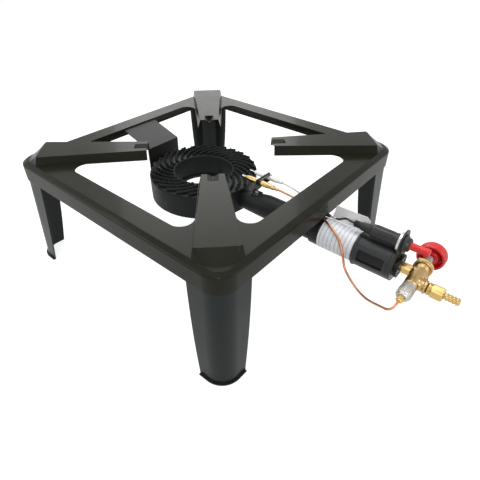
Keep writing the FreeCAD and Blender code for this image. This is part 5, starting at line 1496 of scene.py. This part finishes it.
@dataclass
class Igniter:
    """The push-button igniter."""

    boot_rings: int = 4
    body_flutes: int = 12

    def build(self) -> None:
        """Builds the boot, the body, the ring nut, the collar and the button."""
        self.boot()
        self.body()
        self.ring_nut()
        self.button()
        dress("piezo_element", CERAMIC)
        self.spring()

    def boot(self) -> None:
        """Moulds the rubber boot, ribbed where the lead goes in."""
        seat = Seat.of("piezo_boot")
        length = seat.span.x
        wide = seat.span.z / 2
        core = lathe("piezo_boot_core", seat.root(Axis.X), Axis.X, [
            (0.0, 0.0), (0.0, 2.5), (0.6, 2.9), (9.0, 4.0), (10.4, wide - 1.3), (11.4, wide - 0.9),
            (length - 5.0, wide - 0.5), (length - 4.4, wide), (length - 0.6, wide), (length, wide - 0.6),
            (length, 0.0)], 48)
        ring = lathe("piezo_boot_ring", seat.root(Axis.X), Axis.X, [
            (1.2, 2.6), (1.5, 4.2), (2.5, 4.3), (2.8, 2.6)], 36)
        rings = grown("piezo_boot_rings", ALONG, RUBBER, ring, Count=self.boot_rings,
                      Step=(2.3 * MM, 0.0, 0.0))
        finish_piece(joined("piezo_boot_ribbed", core, rings), RUBBER, BODY_OF["piezo_boot"], "piezo_boot")

    def body(self) -> None:
        """Moulds the igniter's body, with shallow flutes and a threaded nose in the collar."""
        seat = Seat.of("piezo_body")
        nut = Seat.of("piezo_washer")
        collar = Seat.of("piezo_collar")
        root = seat.root(Axis.X)
        root.y, root.z = collar.middle.y, collar.middle.z
        wide = seat.span.z / 2
        long = nut.low.x - seat.low.x
        nose = collar.high.x - 1.0 - seat.low.x
        core = lathe("piezo_body_core", root, Axis.X, [
            (0.0, 0.0), (0.0, wide - 1.4), (0.8, wide - 0.5), (long - 6.0, wide - 0.5), (long - 5.6, wide),
            (long, wide), (long, 7.55), (nose, 7.55), (nose, 5.1), (14.0, 5.1), (14.0, 0.0)], 60)
        flute = block("piezo_flute", Vector((root.x + 3.0, -0.7, wide - 1.0)),
                      Vector((root.x + long - 7.0, 0.7, wide - 0.05)), 0.25)
        flutes = grown("piezo_flutes", AROUND, BLACK_MOULDING, flute, Count=self.body_flutes,
                       Centre=tuple(Vector((0.0, root.y, root.z)) * MM), Axis=(1.0, 0.0, 0.0))
        finish_piece(joined("piezo_body_fluted", core, flutes), BLACK_MOULDING, BODY_OF["piezo_body"],
                     "piezo_body")

    def ring_nut(self) -> None:
        """Makes the plated ring nut and the black collar in front of the plate."""
        seat = Seat.of("piezo_washer")
        wide = seat.span.z / 2
        length = seat.span.x
        nut = lathe("piezo_ring_nut", seat.root(Axis.X), Axis.X, [
            (0.0, 7.65), (0.0, wide - 0.8), (0.5, wide - 0.1), (1.2, wide), (length - 0.2, wide),
            (length, wide - 0.2), (length, 7.65)], 72)
        finish_piece(nut, ZINC, BODY_OF["piezo_washer"], "piezo_washer")
        seat = Seat.of("piezo_collar")
        wide = seat.span.z / 2
        length = seat.span.x
        collar = lathe("piezo_collar_moulded", seat.root(Axis.X), Axis.X, [
            (0.0, 7.65), (0.0, wide - 0.3), (0.5, wide), (1.8, wide), (2.6, wide - 0.7), (3.4, wide - 2.1),
            (length - 1.2, wide - 3.0), (length - 0.3, wide - 3.8), (length, wide - 4.6), (length, 5.3),
            (length - 0.9, 5.15), (length - 0.9, 7.65)], 72)
        finish_piece(collar, BLACK_MOULDING, BODY_OF["piezo_collar"], "piezo_collar")

    def button(self) -> None:
        """Moulds the long red button, with a slightly drawn-in stem and a domed end."""
        seat = Seat.of("piezo_button")
        wide = seat.span.z / 2
        length = seat.span.x
        piece = lathe("piezo_button_moulded", seat.root(Axis.X), Axis.X, [
            (0.0, 0.0), (0.0, wide), (15.0, wide), (16.0, wide - 0.35), (length - 6.0, wide - 0.55),
            (length - 5.6, wide - 0.05), (length - 1.9, wide), (length - 0.9, wide - 0.35),
            (length - 0.2, wide - 1.3),
            (length - 0.25, wide - 2.0), (length - 0.6, wide * 0.35), (length - 0.7, 0.0)], 60)
        finish_piece(piece, RED, BODY_OF["piezo_button"], "piezo_button")

    def spring(self) -> None:
        """Winds the button's return spring, at the length of its CAD node; in use it shortens as the button
        goes in.
        """
        seat = Seat.of("piezo_spring")
        low = seat.root(Axis.X)
        coil = grown("piezo_spring_coil", COIL, SPRING_STEEL, None, 60.0, Turns=9.0,
                     Radius=(seat.span.z / 2 - 0.5) * MM, Wire=0.4 * MM, Length=(seat.span.x - 1.0) * MM,
                     Start=tuple((low + Vector((0.5, 0.0, 0.0))) * MM), Turn=(0.0, math.pi / 2, 0.0))
        finish_piece(coil, SPRING_STEEL, BODY_OF["piezo_spring"], "piezo_spring")
        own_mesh(coil)


# ---------------------------------------------------------------- camera, floor and light

@dataclass
class Studio:
    """The camera, the floor, the lamps and the world."""

    eye: tuple[float, float, float] = (0.39418, -0.40204, 0.43767)
    yaw: float = 130.03
    pitch: float = -37.81
    roll: float = 0.16
    lens: float = 30.71
    floor_colour: float = 0.40
    floor_glow: float = 0.86
    world_light: float = 0.26
    aim: tuple[float, float, float] = (0.05, 0.0, 0.12)
    floor_reach: float = 9.0
    floor_drop: float = 0.0005
    lamps: list[tuple[str, tuple[float, float, float], float, float]] = field(default_factory=lambda: [
        ("overhead", (-0.3, 0.3, 2.4), 31.0, 1.8),
        ("key", (-1.3, -1.3, 1.0), 9.0, 1.0),
        ("side", (1.7, 0.5, 0.9), 7.0, 0.9),
        ("back", (-1.5, 1.5, 1.35), 14.0, 1.3),
        ("spark", (1.5, -1.7, 1.35), 20.0, 0.45),
    ])

    def camera(self) -> None:
        """Places the camera."""
        yaw, pitch, roll = (math.radians(value) for value in (self.yaw, self.pitch, self.roll))
        ahead = Vector((math.cos(pitch) * math.cos(yaw), math.cos(pitch) * math.sin(yaw), math.sin(pitch)))
        level = Vector((math.sin(yaw), -math.cos(yaw), 0.0))
        rise = level.cross(ahead)
        right = math.cos(roll) * level + math.sin(roll) * rise
        up = -math.sin(roll) * level + math.cos(roll) * rise
        turn = Matrix((right, up, -ahead)).transposed()
        data = bpy.data.cameras.new("studio_camera")
        data.lens = self.lens
        data.sensor_width = 36.0
        data.clip_end = 60.0
        camera = bpy.data.objects.new("studio_camera", data)
        camera.matrix_world = Matrix.Translation(Vector(self.eye)) @ turn.to_4x4()
        bpy.context.scene.collection.objects.link(camera)
        bpy.context.scene.camera = camera

    def seen(self, wiring: Wiring, *kinds: str) -> bpy.types.NodeSocket:
        """A value that is 1 for rays of the given kinds and for rays straight from the camera."""
        path = wiring.add("ShaderNodeLightPath")
        value = path.outputs["Is Camera Ray"]
        for kind in kinds:
            value = wiring.maths("MAXIMUM", value, path.outputs[f"Is {kind} Ray"])
        return value

    def floor(self) -> None:
        """Makes the pale floor, which shows white and keeps the shadow."""
        mesh = bpy.data.meshes.new("studio_floor")
        reach = self.floor_reach
        corners = ((-reach, -reach), (reach, -reach), (reach, reach), (-reach, reach))
        mesh.from_pydata([(x, y, -self.floor_drop) for x, y in corners], [], [(0, 1, 2, 3)])
        floor = new_object("studio_floor", mesh)
        material = bpy.data.materials.new("studio_floor")
        material.use_nodes = True
        wiring = Wiring(material.node_tree)
        shader = material.node_tree.nodes["Principled BSDF"]
        shader.inputs["Roughness"].default_value = 0.9
        shader.inputs["Specular IOR Level"].default_value = 0.0
        shader.inputs["Base Color"].default_value = (self.floor_colour,) * 3 + (1.0,)
        shader.inputs["Emission Color"].default_value = (1.0, 1.0, 1.0, 1.0)
        glow = wiring.maths("MULTIPLY", self.seen(wiring, "Glossy", "Transmission"), self.floor_glow)
        wiring.join(glow, shader.inputs["Emission Strength"])
        mesh.materials.append(material)

    def light(self) -> None:
        """Sets the world and the soft lamps."""
        world = bpy.data.worlds.new("studio_world")
        world.use_nodes = True
        bpy.context.scene.world = world
        wiring = Wiring(world.node_tree)
        background = world.node_tree.nodes["Background"]
        background.inputs["Color"].default_value = (1.0, 1.0, 1.0, 1.0)
        shown = self.seen(wiring, "Glossy", "Transmission")
        wiring.join(wiring.spread(shown, self.world_light, 1.0, 0.0, 1.0), background.inputs["Strength"])
        for name, place, power, size in self.lamps:
            data = bpy.data.lights.new(name, "AREA")
            data.energy = power
            data.size = size
            lamp = bpy.data.objects.new(name, data)
            lamp.location = place
            sight = Vector(self.aim) - Vector(place)
            lamp.rotation_euler = sight.to_track_quat("-Z", "Y").to_euler()
            bpy.context.scene.collection.objects.link(lamp)

    def build(self) -> None:
        """Builds the studio."""
        self.camera()
        self.floor()
        self.light()
        bpy.context.scene.view_settings.view_transform = "Standard"


def main() -> None:
    """Builds the stand, piece by piece, and the studio around it."""
    logging.basicConfig(level=logging.INFO, format="%(message)s")
    for assembly in (PressedStand(), RingBurner(), GasTap(), PilotGroup(), Igniter(), Studio()):
        LOG.info("building %s", type(assembly).__name__)
        assembly.build()


if __name__ == "__main__":
    main()
